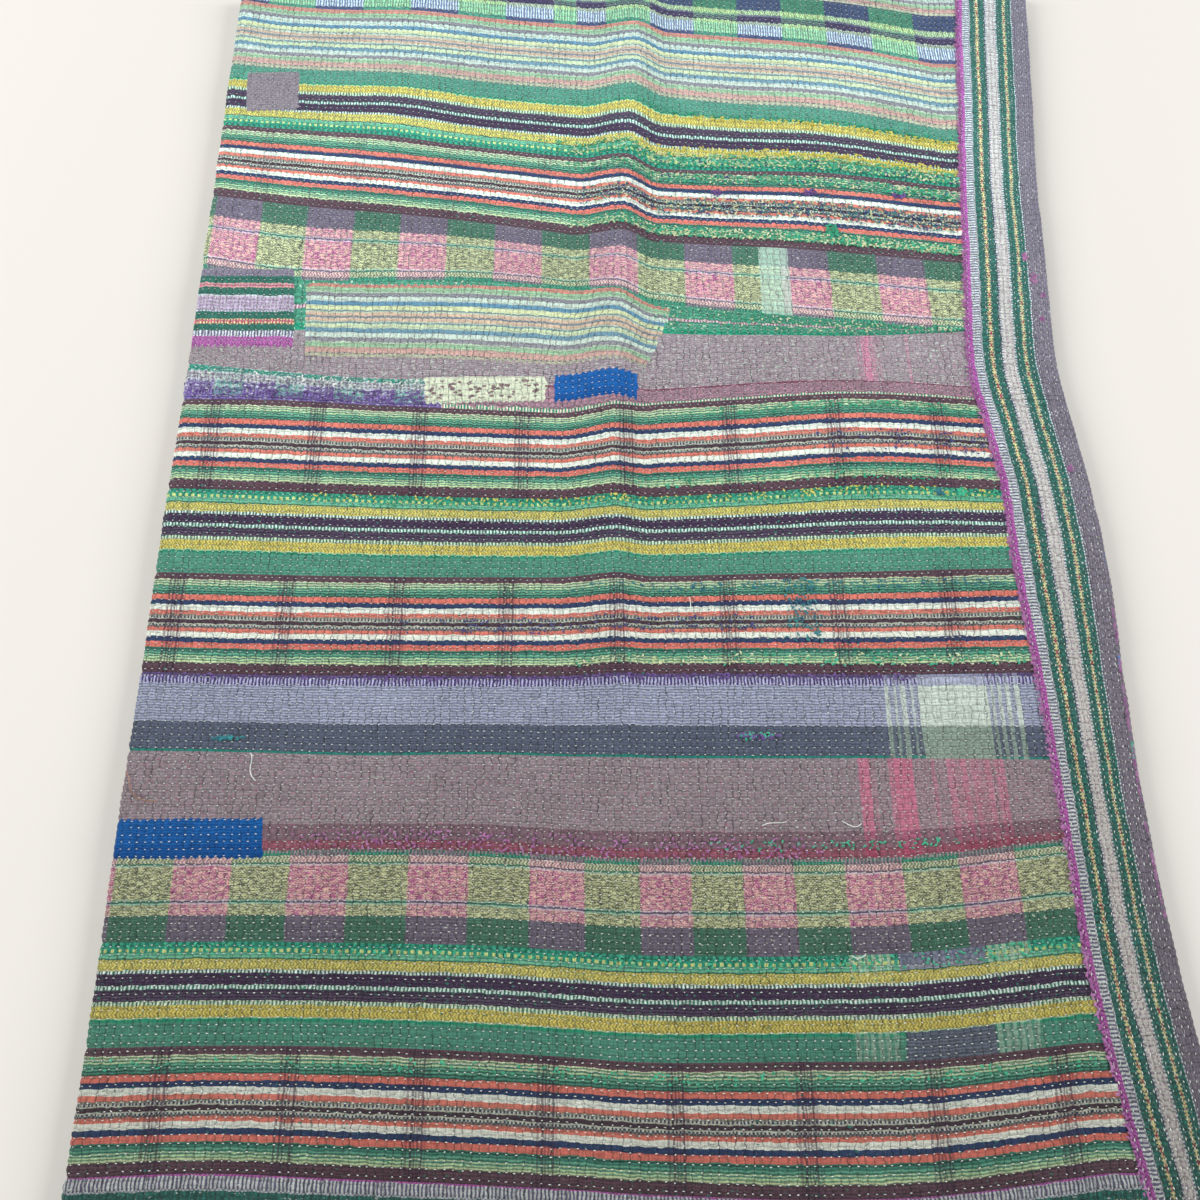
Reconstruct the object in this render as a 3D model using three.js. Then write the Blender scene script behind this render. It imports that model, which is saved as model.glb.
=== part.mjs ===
// A kantha quilt: several layers of old cotton cloth quilted into one sheet,
// folded once along its length and then once across, and laid flat.
//
// Millimetres, +Z up. Every table is measured on the folded quilt: x runs from
// the lengthwise fold (0) to the side hems, and y runs from the foot hems (0)
// to the crosswise fold. Four layers lie on one another:
//   upper pair: layer 1, which is seen from above, and layer 2
//   lower pair: layer 3, and layer 4, which lies on the floor
// The lengthwise fold joins the two layers of each pair. The crosswise fold
// joins layer 1 to layer 4 and layer 2 to layer 3. The printed face is on top
// of layer 1 and goes round both folds.

import * as THREE from 'three';

// ---------------------------------------------------------------- driving sizes

const LENGTH = 1145;          // folded length, foot hem to crosswise fold
const CLOTH = 2.8;            // thickness of the quilted layers of cotton
const AIR = 1.0;              // air between one layer and the next
const REST_RISE = 4.0;        // layer 1 lies this much looser than the others
const HEM_EASE = 60;          // over this width layer 1 settles down to its hem
const TRIM = 1.0;             // thickness of a sewn-on border or patch
const TRIM_AIR = 0.6;         // clearance under a sewn-on piece
const FOLD_PUFF = 4.0;        // extra height where the crosswise fold springs up
const FOLD_PUFF_REACH = 90;   // how far from the crosswise fold it springs up
const CREST_SHARE = 0.35;     // share of layer 1's relief that layer 2 follows

// Heights of the middle of each layer above the floor, at its lowest.
const PITCH = CLOTH + AIR;
const LAYER_4_Z = CLOTH / 2;
const LAYER_3_Z = LAYER_4_Z + PITCH;
const LAYER_2_Z = LAYER_3_Z + PITCH;
const LAYER_1_Z = LAYER_2_Z + PITCH;

// The crosswise fold starts to turn down here.
const TURN_Y = LENGTH - CLOTH / 2
  - (LAYER_1_Z + REST_RISE + FOLD_PUFF - LAYER_4_Z) / 2;

// The side hem of layer 1, and the seam where its border strip starts.
const sideEdge = [
  { y: 0, hem: 778, seam: 722 },
  { y: 100, hem: 772, seam: 709.5 },
  { y: 200, hem: 764, seam: 699 },
  { y: 300, hem: 761, seam: 697.5 },
  { y: 400, hem: 763, seam: 696 },
  { y: 505, hem: 768, seam: 691 },
  { y: 580, hem: 766, seam: 691.5 },
  { y: 640, hem: 761, seam: 685 },
  { y: 692, hem: 757, seam: 679 },
  { y: 740, hem: 759, seam: 683 },
  { y: 820, hem: 765, seam: 691.5 },
  { y: 900, hem: 770, seam: 698.5 },
  { y: 990, hem: 780, seam: 708 },
  { y: 1145, hem: 796, seam: 725 },
];

// The seam where the foot border starts, at the lengthwise fold and at the hem.
const FOOT_SEAM = { atFold: 74, atHem: 81 };

// The sharp crest that long storage has left at mid-width.
const crest = [
  { y: 0, x: 372, height: 0 },
  { y: 270, x: 372, height: 0.6 },
  { y: 350, x: 373, height: 4 },
  { y: 470, x: 371, height: 10 },
  { y: 640, x: 370, height: 13 },
  { y: 780, x: 378, height: 14 },
  { y: 985, x: 393, height: 13 },
  { y: 1145, x: 405, height: 9 },
];
const CREST_LEFT = 46;        // width of the crest's gentle flank
const CREST_RIGHT = 30;       // width of its steep flank

// Broad swells and hollows of layer 1: centre, half-widths and rise.
const swells = [
  { x: 169, y: 985, halfX: 55, halfY: 48, rise: 6.0 },
  { x: 38, y: 1095, halfX: 40, halfY: 60, rise: -3.0 },
  { x: 105, y: 612, halfX: 70, halfY: 55, rise: -3.0 },
  { x: 250, y: 300, halfX: 120, halfY: 80, rise: 2.5 },
  { x: 225, y: 760, halfX: 80, halfY: 70, rise: 2.5 },
  { x: 470, y: 820, halfX: 60, halfY: 260, rise: -2.5 },
  { x: 590, y: 640, halfX: 90, halfY: 80, rise: 3.0 },
  { x: 600, y: 1020, halfX: 90, halfY: 70, rise: 3.0 },
  { x: 560, y: 190, halfX: 120, halfY: 60, rise: 2.0 },
  { x: 60, y: 360, halfX: 50, halfY: 90, rise: 1.5 },
];

// How far the edges of each layer stay back: from x = 0, from the side hem of
// layer 1 and from y = 0. Each edge waves a little about that line.
const setBack = {
  layer1: { fold: 0, foldWave: 0.8, hem: 0, hemWave: 0, end: 2.5, endWave: 1.5, phase: 0.4 },
  layer2: { fold: 0, foldWave: 0.8, hem: 8, hemWave: 3, end: 8, endWave: 2, phase: 2.1 },
  layer3: { fold: 6, foldWave: 2, hem: 6, hemWave: 3, end: 6, endWave: 2.5, phase: 4.0 },
  layer4: { fold: 6, foldWave: 2, hem: 11, hemWave: 3, end: 10, endWave: 2, phase: 5.2 },
};
const SIDE_WAVE = 95;         // a long edge waves with this length, over 2 pi
const END_WAVE = 42;          // and a short edge with this one

// Sewn-on patches of layer 1. The sides are given at the near and the far end,
// the ends at the left and the right side. One whose left side is at the fold
// runs round it.
const patches = [
  { name: 'patch_mauve', left: [20, 15], right: [73, 69], near: [985, 985], far: [1036, 1036] },
  { name: 'patch_old_border', left: 'fold', right: [92, 85], near: [719, 719], far: [804, 804] },
  { name: 'patch_fine_stripe', left: [101, 94], right: [401, 427], near: [711, 695], far: [787, 758] },
  { name: 'patch_spotted', left: [208, 206], right: [315, 315], near: [660, 660], far: [688, 688] },
  { name: 'patch_blue_middle', left: [319, 319], right: [393, 393], near: [660, 660], far: [689, 689] },
  { name: 'patch_blue_side', left: 'fold', right: [111, 108], near: [281, 281], far: [312, 312] },
];

// Steps of the mesh.
const ROWS_TO_TURN = 34;
const BORDER_COLUMNS = 5;
const RIGHT_COLUMNS = 9;
const CREST_COLUMNS = 7;
const LEFT_COLUMNS = 13;
const UNDER_COLUMNS = 8;
const FOLD_STEPS = 5;
const LOWER_ROWS = 6;

const cottons = {
  kantha_quilt: { colour: 0x7f9a86, roughness: 0.92 },
  side_border: { colour: 0x2f6f63, roughness: 0.9 },
  foot_border: { colour: 0x35756a, roughness: 0.9 },
  patch_mauve: { colour: 0x8d7f95, roughness: 0.92 },
  patch_old_border: { colour: 0x3f7f78, roughness: 0.92 },
  patch_fine_stripe: { colour: 0xc9b7a8, roughness: 0.92 },
  patch_spotted: { colour: 0xd9d3bf, roughness: 0.92 },
  patch_blue_middle: { colour: 0x3c66b0, roughness: 0.9 },
  patch_blue_side: { colour: 0x3a61ad, roughness: 0.9 },
};

// ---------------------------------------------------------------- small helpers

const clamp01 = (t) => Math.min(1, Math.max(0, t));
const mix = (a, b, t) => a + (b - a) * t;
const ease = (t) => clamp01(t) ** 2 * (3 - 2 * clamp01(t));

// Numbers from one value to another in even steps, both ends included.
const spread = (from, to, count) => (
  Array.from({ length: count }, (_, i) => mix(from, to, i / (count - 1))));

// One column of a table of rows, read at y on a smooth curve through the rows.
function readAt(rows, column, y) {
  let i = 0;
  while (i < rows.length - 2 && y > rows[i + 1].y) i += 1;
  const [a, b] = [rows[i], rows[i + 1]];
  const before = rows[Math.max(0, i - 1)];
  const after = rows[Math.min(rows.length - 1, i + 2)];
  const span = b.y - a.y;
  const t = clamp01((y - a.y) / span);
  const slopeAtA = ((b[column] - before[column]) / (b.y - before.y)) * span;
  const slopeAtB = ((after[column] - a[column]) / (after.y - a.y)) * span;
  return (2 * t ** 3 - 3 * t ** 2 + 1) * a[column] + (t ** 3 - 2 * t ** 2 + t) * slopeAtA
    + (3 * t ** 2 - 2 * t ** 3) * b[column] + (t ** 3 - t ** 2) * slopeAtB;
}

// ------------------------------------------------------------- how layer 1 lies

// The cut of the crest: 1 on its line, 0 at the foot of each flank.
function crestShape(offset) {
  const t = clamp01(1 - Math.abs(offset) / (offset < 0 ? CREST_LEFT : CREST_RIGHT));
  return 0.35 * t + 0.65 * ease(t);
}

// How far layer 1 stands above its lowest level at x, y.
function relief(x, y) {
  const settled = ease((readAt(sideEdge, 'hem', y) - x) / HEM_EASE)
    * mix(0.3, 1, ease(y / HEM_EASE));
  let rise = REST_RISE + 0.9 * Math.sin(x / 47 + y / 83) + 0.7 * Math.sin(y / 39 - x / 140);
  for (const swell of swells) {
    const dx = (x - swell.x) / swell.halfX;
    const dy = (y - swell.y) / swell.halfY;
    rise += swell.rise * Math.exp(-dx * dx - dy * dy);
  }
  rise += FOLD_PUFF * ease(1 - (LENGTH - y) / FOLD_PUFF_REACH);
  rise += readAt(crest, 'height', y) * crestShape(x - readAt(crest, 'x', y));
  return Math.max(0, rise * settled);
}

// ---------------------------------------------------------- a cut across a pair

// A place across the cloth is a stretch of it and t, a share of that stretch.
// The stretches follow one another from the side hem of layer 1 to that of
// layer 2: hemRoll, border, right, crest, left, fold, under.
const places = (stretch, shares) => shares.map((t) => ({ stretch, t }));

// The middle of the cloth at a place, and where its printed face looks. The
// lower pair is built like the upper one, turned over.
function cutAt(pair, place, y) {
  const upper = pair === 'upper';
  const up = upper ? 1 : -1;
  const outer = upper ? setBack.layer1 : setBack.layer4;
  const inner = upper ? setBack.layer2 : setBack.layer3;
  const outerZ = (x) => (upper ? LAYER_1_Z + relief(x, y) : LAYER_4_Z);
  const innerZ = (x) => (upper ? LAYER_2_Z + CREST_SHARE * relief(x, y) : LAYER_3_Z);
  const wave = (layer) => Math.sin(y / SIDE_WAVE + layer.phase);
  const hemOf = (layer) => readAt(sideEdge, 'hem', y) - layer.hem - layer.hemWave * wave(layer);
  const crestX = readAt(crest, 'x', y);
  const halfGap = (x) => Math.abs(outerZ(x) - innerZ(x)) / 2;
  const foldX = outer.fold + outer.foldWave * wave(outer) + halfGap(outer.fold) + CLOTH / 2;
  const flat = (x) => ({ x, z: outerZ(x), faceX: 0, faceZ: up });
  const { stretch, t } = place;

  if (stretch === 'hemRoll') return flat(hemOf(outer));
  if (stretch === 'border') return flat(mix(hemOf(outer), readAt(sideEdge, 'seam', y), t));
  if (stretch === 'right') {
    return flat(mix(readAt(sideEdge, 'seam', y) - TRIM_AIR, crestX + CREST_RIGHT, t));
  }
  if (stretch === 'crest') return flat(crestX + t * (t < 0 ? CREST_LEFT : CREST_RIGHT));
  if (stretch === 'left') return flat(mix(crestX - CREST_LEFT, foldX, t));
  if (stretch === 'under') {
    const x = mix(foldX, hemOf(inner), t);
    return { x, z: innerZ(x), faceX: 0, faceZ: -up };
  }
  const radius = halfGap(foldX);
  const angle = Math.PI * t;
  return {
    x: foldX - radius * Math.sin(angle),
    z: (outerZ(foldX) + innerZ(foldX)) / 2 + up * radius * Math.cos(angle),
    faceX: -Math.sin(angle),
    faceZ: up * Math.cos(angle),
  };
}

// A point in the thickness of a pair: height is measured from the middle of the
// cloth towards its printed face, and roll turns it round a hem's edge.
function pairPoint(pair, place, y, height, endRoll = 0) {
  const cut = cutAt(pair, place, y);
  const hemRoll = place.stretch === 'hemRoll' ? place.t : 0;
  const facing = height * Math.cos(hemRoll) * Math.cos(endRoll);
  return new THREE.Vector3(
    cut.x + cut.faceX * facing + height * Math.sin(hemRoll),
    y - height * Math.sin(endRoll),
    cut.z + cut.faceZ * facing,
  );
}

// Where the cloth of a place ends at the foot.
function endAt(pair, place) {
  const [outer, inner] = pair === 'upper'
    ? [setBack.layer1, setBack.layer2] : [setBack.layer4, setBack.layer3];
  const { x } = cutAt(pair, place, 0);
  const endOf = (layer) => layer.end + layer.endWave * Math.sin(x / END_WAVE + layer.phase);
  if (place.stretch === 'under') return endOf(inner);
  return place.stretch === 'fold' ? mix(endOf(outer), endOf(inner), ease(place.t)) : endOf(outer);
}

// A point of the whole folded cloth. A stage along it is one of
//   { run: 'upper' or 'lower', y }      flat, at y
//   { run: 'turn', t }                  round the crosswise fold
//   { run: 'foot', roll }               round the foot hem
//   { run: 'footSeam' }                 at the seam of the foot border
function clothPoint(place, stage, height) {
  if (stage.run === 'turn') {
    const from = pairPoint('upper', place, TURN_Y, height);
    const to = pairPoint('lower', place, TURN_Y, height);
    const radius = (from.z - to.z) / 2;
    const angle = Math.PI * stage.t;
    return new THREE.Vector3(
      mix(from.x, to.x, ease(stage.t)),
      TURN_Y + radius * Math.sin(angle),
      (from.z + to.z) / 2 + radius * Math.cos(angle),
    );
  }
  if (stage.run === 'foot') {
    return pairPoint('upper', place, endAt('upper', place), height, stage.roll);
  }
  if (stage.run === 'footSeam') {
    const share = clamp01(cutAt('upper', place, 0).x / sideEdge[0].hem);
    return pairPoint('upper', place, mix(FOOT_SEAM.atFold, FOOT_SEAM.atHem, share), height);
  }
  return pairPoint(stage.run, place, Math.max(stage.y, endAt(stage.run, place)), height);
}

// ------------------------------------------------------------- making the solids

// A closed sheet between two heights over a grid of places and stages. pointAt
// gives a point from a place, a stage and a height. edgePush rounds the hems:
// it moves the middle of the edge outwards, and 0 leaves a square edge.
function sheetSolid(columns, rows, pointAt, faceHeight, backHeight, edgePush = 0) {
  const points = [];
  const faces = [];
  const keep = (point) => points.push(point) - 1;
  const gridAt = (height) => rows.map((stage) => (
    columns.map((place) => keep(pointAt(place, stage, height)))));
  const front = gridAt(faceHeight);
  const back = gridAt(backHeight);
  const lastColumn = columns.length - 1;
  const lastRow = rows.length - 1;

  for (let j = 0; j < lastRow; j += 1) {
    for (let i = 0; i < lastColumn; i += 1) {
      const corners = (grid) => [grid[j][i], grid[j][i + 1], grid[j + 1][i + 1], grid[j + 1][i]];
      const [a, b, c, d] = corners(front);
      faces.push([a, b, c], [a, c, d]);
      const [e, f, g, h] = corners(back);
      faces.push([e, g, f], [e, h, g]);
    }
  }

  const loop = [];
  for (let i = 0; i < lastColumn; i += 1) loop.push([i, 0]);
  for (let j = 0; j < lastRow; j += 1) loop.push([lastColumn, j]);
  for (let i = lastColumn; i > 0; i -= 1) loop.push([i, lastRow]);
  for (let j = lastRow; j > 0; j -= 1) loop.push([0, j]);
  const rim = loop.map(([i, j]) => {
    const middle = points[front[j][i]].clone().add(points[back[j][i]]).multiplyScalar(0.5);
    const outwards = new THREE.Vector3(
      i === 0 || i === lastColumn ? 1 : 0,
      j === 0 || j === lastRow ? -1 : 0,
      0,
    ).normalize();
    return keep(middle.addScaledVector(outwards, edgePush));
  });
  loop.forEach(([i, j], n) => {
    const next = (n + 1) % loop.length;
    const [iNext, jNext] = loop[next];
    const [a, b] = [front[j][i], front[jNext][iNext]];
    const [c, d] = [back[j][i], back[jNext][iNext]];
    if (edgePush > 0) {
      faces.push([b, a, rim[n]], [b, rim[n], rim[next]], [rim[next], rim[n], c], [rim[next], c, d]);
    } else {
      faces.push([b, a, c], [b, c, d]);
    }
  });
  return solidGeometry(points, faces);
}

// A buffer geometry with its faces turned outwards.
function solidGeometry(points, faces) {
  const volume = faces.reduce((sum, [a, b, c]) => (
    sum + points[a].dot(points[b].clone().cross(points[c]))), 0);
  const outward = volume > 0 ? faces : faces.map(([a, b, c]) => [a, c, b]);
  const geometry = new THREE.BufferGeometry();
  geometry.setAttribute('position', new THREE.Float32BufferAttribute(
    outward.flatMap((face) => face.flatMap((n) => points[n].toArray())), 3));
  geometry.computeVertexNormals();
  return geometry;
}

const upperRows = spread(0, TURN_Y, ROWS_TO_TURN).map((y) => ({ run: 'upper', y }));
const foldShares = spread(0, 1, FOLD_STEPS + 1).slice(1, -1);
const crestPlaces = places('crest', spread(1, -1, CREST_COLUMNS + 2).slice(1, -1));
const leftPlaces = places('left', spread(0, 1, LEFT_COLUMNS));
const borderPlaces = places('border', spread(0, 1, BORDER_COLUMNS));
const rightPlaces = places('right', spread(0, 1, RIGHT_COLUMNS));
const bodyPlaces = [
  ...borderPlaces,
  ...rightPlaces.slice(1),
  ...crestPlaces,
  ...leftPlaces,
];
const quilt = sheetSolid(
  [
    ...bodyPlaces,
    ...places('fold', foldShares),
    ...places('under', spread(0, 1, UNDER_COLUMNS)),
  ],
  [
    ...upperRows,
    ...foldShares.map((t) => ({ run: 'turn', t })),
    ...spread(TURN_Y, 0, LOWER_ROWS).map((y) => ({ run: 'lower', y })),
  ],
  clothPoint,
  CLOTH / 2,
  -CLOTH / 2,
  CLOTH / 2,
);

// Sewn-on pieces lie on the printed face, a little above it.
const TRIM_BACK = CLOTH / 2 + TRIM_AIR;
const TRIM_FRONT = TRIM_BACK + TRIM;
const HEM_TURN = Math.PI * 0.58;             // how far a border turns round a hem
const BORDER_END = 0.7;                      // share of the crosswise fold it goes round
const rollSteps = spread(HEM_TURN, 0, 4).slice(0, -1);

// The border strip along the side hem. It turns down round the hem and goes on
// round the crosswise fold.
const sideBorder = sheetSolid(
  [...places('hemRoll', rollSteps), ...borderPlaces],
  [
    ...upperRows,
    ...[...foldShares.filter((t) => t < BORDER_END), BORDER_END].map((t) => ({ run: 'turn', t })),
  ],
  clothPoint,
  TRIM_FRONT,
  TRIM_BACK,
);

// The border strip along the foot hem, from the side border to the fold.
const footBorder = sheetSolid(
  [
    ...rightPlaces,
    ...crestPlaces,
    ...leftPlaces,
    ...places('fold', [...foldShares.filter((t) => t < 0.5), 0.5]),
  ],
  [
    ...rollSteps.map((roll) => ({ run: 'foot', roll })),
    ...upperRows.filter(({ y }) => y < FOOT_SEAM.atFold - 2),
    { run: 'footSeam' },
  ],
  clothPoint,
  TRIM_FRONT,
  TRIM_BACK,
);

// A patch: its own edges, and the quilt's rows and columns that lie inside them,
// so that it follows the quilt's facets.
function patchSolid({ left, right, near, far }) {
  const middleY = (near[0] + far[0]) / 2;
  const edgeMargin = 6;
  const atFold = left === 'fold';
  const xOf = (place, y) => cutAt('upper', place, y).x;
  const leftX = (t) => (atFold ? 0 : mix(left[0], left[1], t));
  const rightX = (t) => mix(right[0], right[1], t);
  const inside = bodyPlaces.filter((place) => {
    const x = xOf(place, middleY);
    return x < Math.min(...right) - edgeMargin && (atFold || x > Math.max(...left) + edgeMargin);
  });
  const columns = [
    { edge: rightX },
    ...inside,
    ...(atFold ? places('fold', [...foldShares.filter((t) => t < 0.5), 0.5]) : [{ edge: leftX }]),
  ];
  const rowsInside = upperRows.filter(({ y }) => (
    y > Math.max(...near) + edgeMargin && y < Math.min(...far) - edgeMargin));
  const rows = [{ end: near, t: 0 }, ...rowsInside, { end: far, t: 1 }];

  const pointAt = (place, row, height) => {
    const along = row.end ? row.t : (row.y - near[0]) / (far[0] - near[0]);
    const x = place.edge ? place.edge(along) : xOf(place, row.y ?? middleY);
    const across = (x - leftX(along)) / (rightX(along) - leftX(along));
    const y = row.end ? mix(row.end[0], row.end[1], clamp01(across)) : row.y;
    if (place.edge) return new THREE.Vector3(x, y, LAYER_1_Z + relief(x, y) + height);
    return pairPoint('upper', place, y, height);
  };
  return sheetSolid(columns, rows, pointAt, TRIM_FRONT, TRIM_BACK);
}

// ---------------------------------------------------------------- the whole quilt

const solids = { kantha_quilt: quilt, side_border: sideBorder, foot_border: footBorder };
for (const patch of patches) solids[patch.name] = patchSolid(patch);

const kanthaQuilt = new THREE.Group();
for (const [name, geometry] of Object.entries(solids)) {
  const { colour, roughness } = cottons[name];
  const material = new THREE.MeshStandardMaterial({ color: colour, roughness, metalness: 0 });
  const mesh = new THREE.Mesh(geometry, material);
  mesh.name = name;
  kanthaQuilt.add(mesh);
}

// The origin is in the middle of the underside.
const box = new THREE.Box3().setFromObject(kanthaQuilt);
const middle = box.getCenter(new THREE.Vector3());
kanthaQuilt.position.set(-middle.x, -middle.y, -box.min.z);

export default kanthaQuilt;
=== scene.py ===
# %% [markdown]
# # A kantha quilt, folded in quarters
# A kantha is made of worn-out saris. Strips of them are pieced into one face,
# laid on layers of older cloth and held together with thousands of running
# stitches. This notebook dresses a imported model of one: it keeps the size and
# the folds that the solids have and adds what makes cloth look like cloth.
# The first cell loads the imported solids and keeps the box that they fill.

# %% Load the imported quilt
import math
import bpy
import numpy as np
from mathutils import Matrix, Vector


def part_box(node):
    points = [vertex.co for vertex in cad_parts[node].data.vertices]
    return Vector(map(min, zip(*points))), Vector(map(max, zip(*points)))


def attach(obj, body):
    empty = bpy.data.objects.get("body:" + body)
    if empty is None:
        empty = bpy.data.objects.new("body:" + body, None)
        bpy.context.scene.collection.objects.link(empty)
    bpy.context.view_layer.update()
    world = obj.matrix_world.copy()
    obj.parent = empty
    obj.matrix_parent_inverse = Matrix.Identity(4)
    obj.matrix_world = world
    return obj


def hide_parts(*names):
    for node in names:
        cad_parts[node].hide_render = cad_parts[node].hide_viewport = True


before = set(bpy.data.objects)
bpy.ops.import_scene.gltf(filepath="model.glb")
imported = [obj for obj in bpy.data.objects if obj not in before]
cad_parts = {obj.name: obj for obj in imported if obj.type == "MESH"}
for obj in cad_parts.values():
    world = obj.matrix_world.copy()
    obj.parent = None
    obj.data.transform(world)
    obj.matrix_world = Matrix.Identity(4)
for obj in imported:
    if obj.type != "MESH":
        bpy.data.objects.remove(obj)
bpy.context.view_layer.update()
print("nodes:", sorted(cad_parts))

# %% [markdown]
# ## How the cloth lies
# All tables are in millimetres and in the cloth's own directions: x runs from
# the lengthwise fold (0) to the side hems, y from the foot hems (0) to the
# crosswise fold. One function, `read_at`, reads any table on a smooth curve, so
# that a dozen rows describe a whole edge.

# %% Sizes and tables of the folded quilt
LENGTH = 1145.0   # from the foot hems to the crosswise fold
CLOTH = 2.8       # one layer of the quilt
AIR = 1.0         # between two layers
REST_RISE = 4.0   # how far the top layer stands off, by the way it was folded
FOLD_PUFF = 4.0   # and how much more beside the crosswise fold
PITCH = CLOTH + AIR
ROUND_HEM = 2.2   # radians that a piece may go round a hem
LAYER_Z = {layer: CLOTH / 2 + (4 - layer) * PITCH for layer in (4, 3, 2, 1)}
TURN_Y = LENGTH - CLOTH / 2 - (LAYER_Z[1] + REST_RISE + FOLD_PUFF - LAYER_Z[4]) / 2

side_edge = {
    "y":    [0, 100, 200, 300, 400, 505, 580, 640, 692, 740, 820, 900, 990, 1145],
    "hem":  [778, 772, 764, 761, 763, 768, 766, 761, 757, 759, 765, 770, 780, 796],
    "seam": [722, 709.5, 699, 697.5, 696, 691, 691.5, 685, 679, 683, 691.5, 698.5, 708, 725],
}
crest = {
    "y":      [0, 270, 350, 470, 640, 780, 985, 1145],
    "x":      [372, 372, 373, 371, 370, 378, 393, 405],
    "height": [0, 0.6, 4, 10, 13, 14, 13, 9],
}
CREST_LEFT = 46.0
CREST_RIGHT = 30.0
swells = [  # centre x, centre y, half-width in x, half-width in y, rise
    (169, 985, 55, 48, 6.0), (38, 1095, 40, 60, -3.0), (105, 612, 70, 55, -3.0),
    (250, 300, 120, 80, 2.5), (225, 760, 80, 70, 2.5), (470, 820, 60, 260, -2.5),
    (590, 640, 90, 80, 3.0), (600, 1020, 90, 70, 3.0), (560, 190, 120, 60, 2.0),
    (60, 360, 50, 90, 1.5),
]
set_back = {  # how far each layer's edges stay back, and how they wave
    1: dict(fold=0, fold_wave=0.8, hem=0, hem_wave=0, end=2.5, end_wave=1.5, phase=0.4),
    2: dict(fold=0, fold_wave=0.8, hem=8, hem_wave=3, end=8, end_wave=2, phase=2.1),
    3: dict(fold=6, fold_wave=2, hem=6, hem_wave=3, end=6, end_wave=2.5, phase=4.0),
    4: dict(fold=6, fold_wave=2, hem=11, hem_wave=3, end=10, end_wave=2, phase=5.2),
}


def read_at(table, column, at, key="y"):
    """A column of a table, read at any place on a smooth curve through its rows."""
    knots = np.array(table[key], float)
    values = np.array(table[column], float)
    index = np.arange(len(knots))
    before = np.maximum(index - 1, 0)
    after = np.minimum(index + 1, len(knots) - 1)
    slopes = (values[after] - values[before]) / (knots[after] - knots[before])
    at = np.clip(at, knots[0], knots[-1])
    i = np.clip(np.searchsorted(knots, at, side="right") - 1, 0, len(knots) - 2)
    span = knots[i + 1] - knots[i]
    t = (at - knots[i]) / span
    start = (2 * t**3 - 3 * t**2 + 1) * values[i] + (t**3 - 2 * t**2 + t) * span * slopes[i]
    return start + (3 * t**2 - 2 * t**3) * values[i + 1] + (t**3 - t**2) * span * slopes[i + 1]


def mix(a, b, t):
    return a + (b - a) * t


def ease(t):
    t = np.clip(t, 0, 1)
    return t * t * (3 - 2 * t)


print("turns down at", round(TURN_Y, 1), "mm")

# %% [markdown]
# ## One function for the whole surface
# A folded sheet is hard to model face by face, and easy to describe: walk across
# it, walk along it, and stand a little above or below its middle. `pair_point`
# goes across one pair of layers (flat, round the lengthwise fold, back under).
# `cloth_point` adds the way round the crosswise fold to the lower pair. Every
# piece of this quilt is placed with them, so the pieces fit without measuring.

# %% Where any point of the cloth is
def relief(x, y):
    """How far layer 1 stands above its lowest level."""
    hem = read_at(side_edge, "hem", y)
    # Everything settles over the last 60 mm before the hems.
    settled = ease((hem - x) / 60) * mix(0.3, 1, ease(y / 60))
    rise = REST_RISE + 0.9 * np.sin(x / 47 + y / 83) + 0.7 * np.sin(y / 39 - x / 140)
    for cx, cy, half_x, half_y, height in swells:
        rise = rise + height * np.exp(-((x - cx) / half_x) ** 2 - ((y - cy) / half_y) ** 2)
    rise = rise + FOLD_PUFF * ease(1 - (LENGTH - y) / 90)
    off = x - read_at(crest, "x", y)
    t = np.clip(1 - np.abs(off) / np.where(off < 0, CREST_LEFT, CREST_RIGHT), 0, 1)
    rise = rise + read_at(crest, "height", y) * (0.35 * t + 0.65 * ease(t))
    return np.maximum(0, rise * settled)


def edge_wave(layer, along, length):
    return np.sin(along / length + set_back[layer]["phase"])


def hem_x(layer, y):
    row = set_back[layer]
    return read_at(side_edge, "hem", y) - row["hem"] - row["hem_wave"] * edge_wave(layer, y, 95)


def end_y(layer, x):
    row = set_back[layer]
    return row["end"] + row["end_wave"] * edge_wave(layer, x, 42)


def layer_z(layer, x, y):
    if layer == 1:
        return LAYER_Z[1] + relief(x, y)
    if layer == 2:
        return LAYER_Z[2] + 0.35 * relief(x, y)
    return LAYER_Z[layer] + 0 * (x + y)


def fold_at(upper, y):
    """Where the lengthwise fold of a pair starts to turn, and its radius."""
    outer, inner = (1, 2) if upper else (4, 3)
    row = set_back[outer]
    edge = row["fold"] + 0 * y
    radius = np.abs(layer_z(outer, edge, y) - layer_z(inner, edge, y)) / 2
    turn_x = row["fold"] + row["fold_wave"] * edge_wave(outer, y, 95) + radius + CLOTH / 2
    radius = np.abs(layer_z(outer, turn_x, y) - layer_z(inner, turn_x, y)) / 2
    return turn_x, radius


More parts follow.
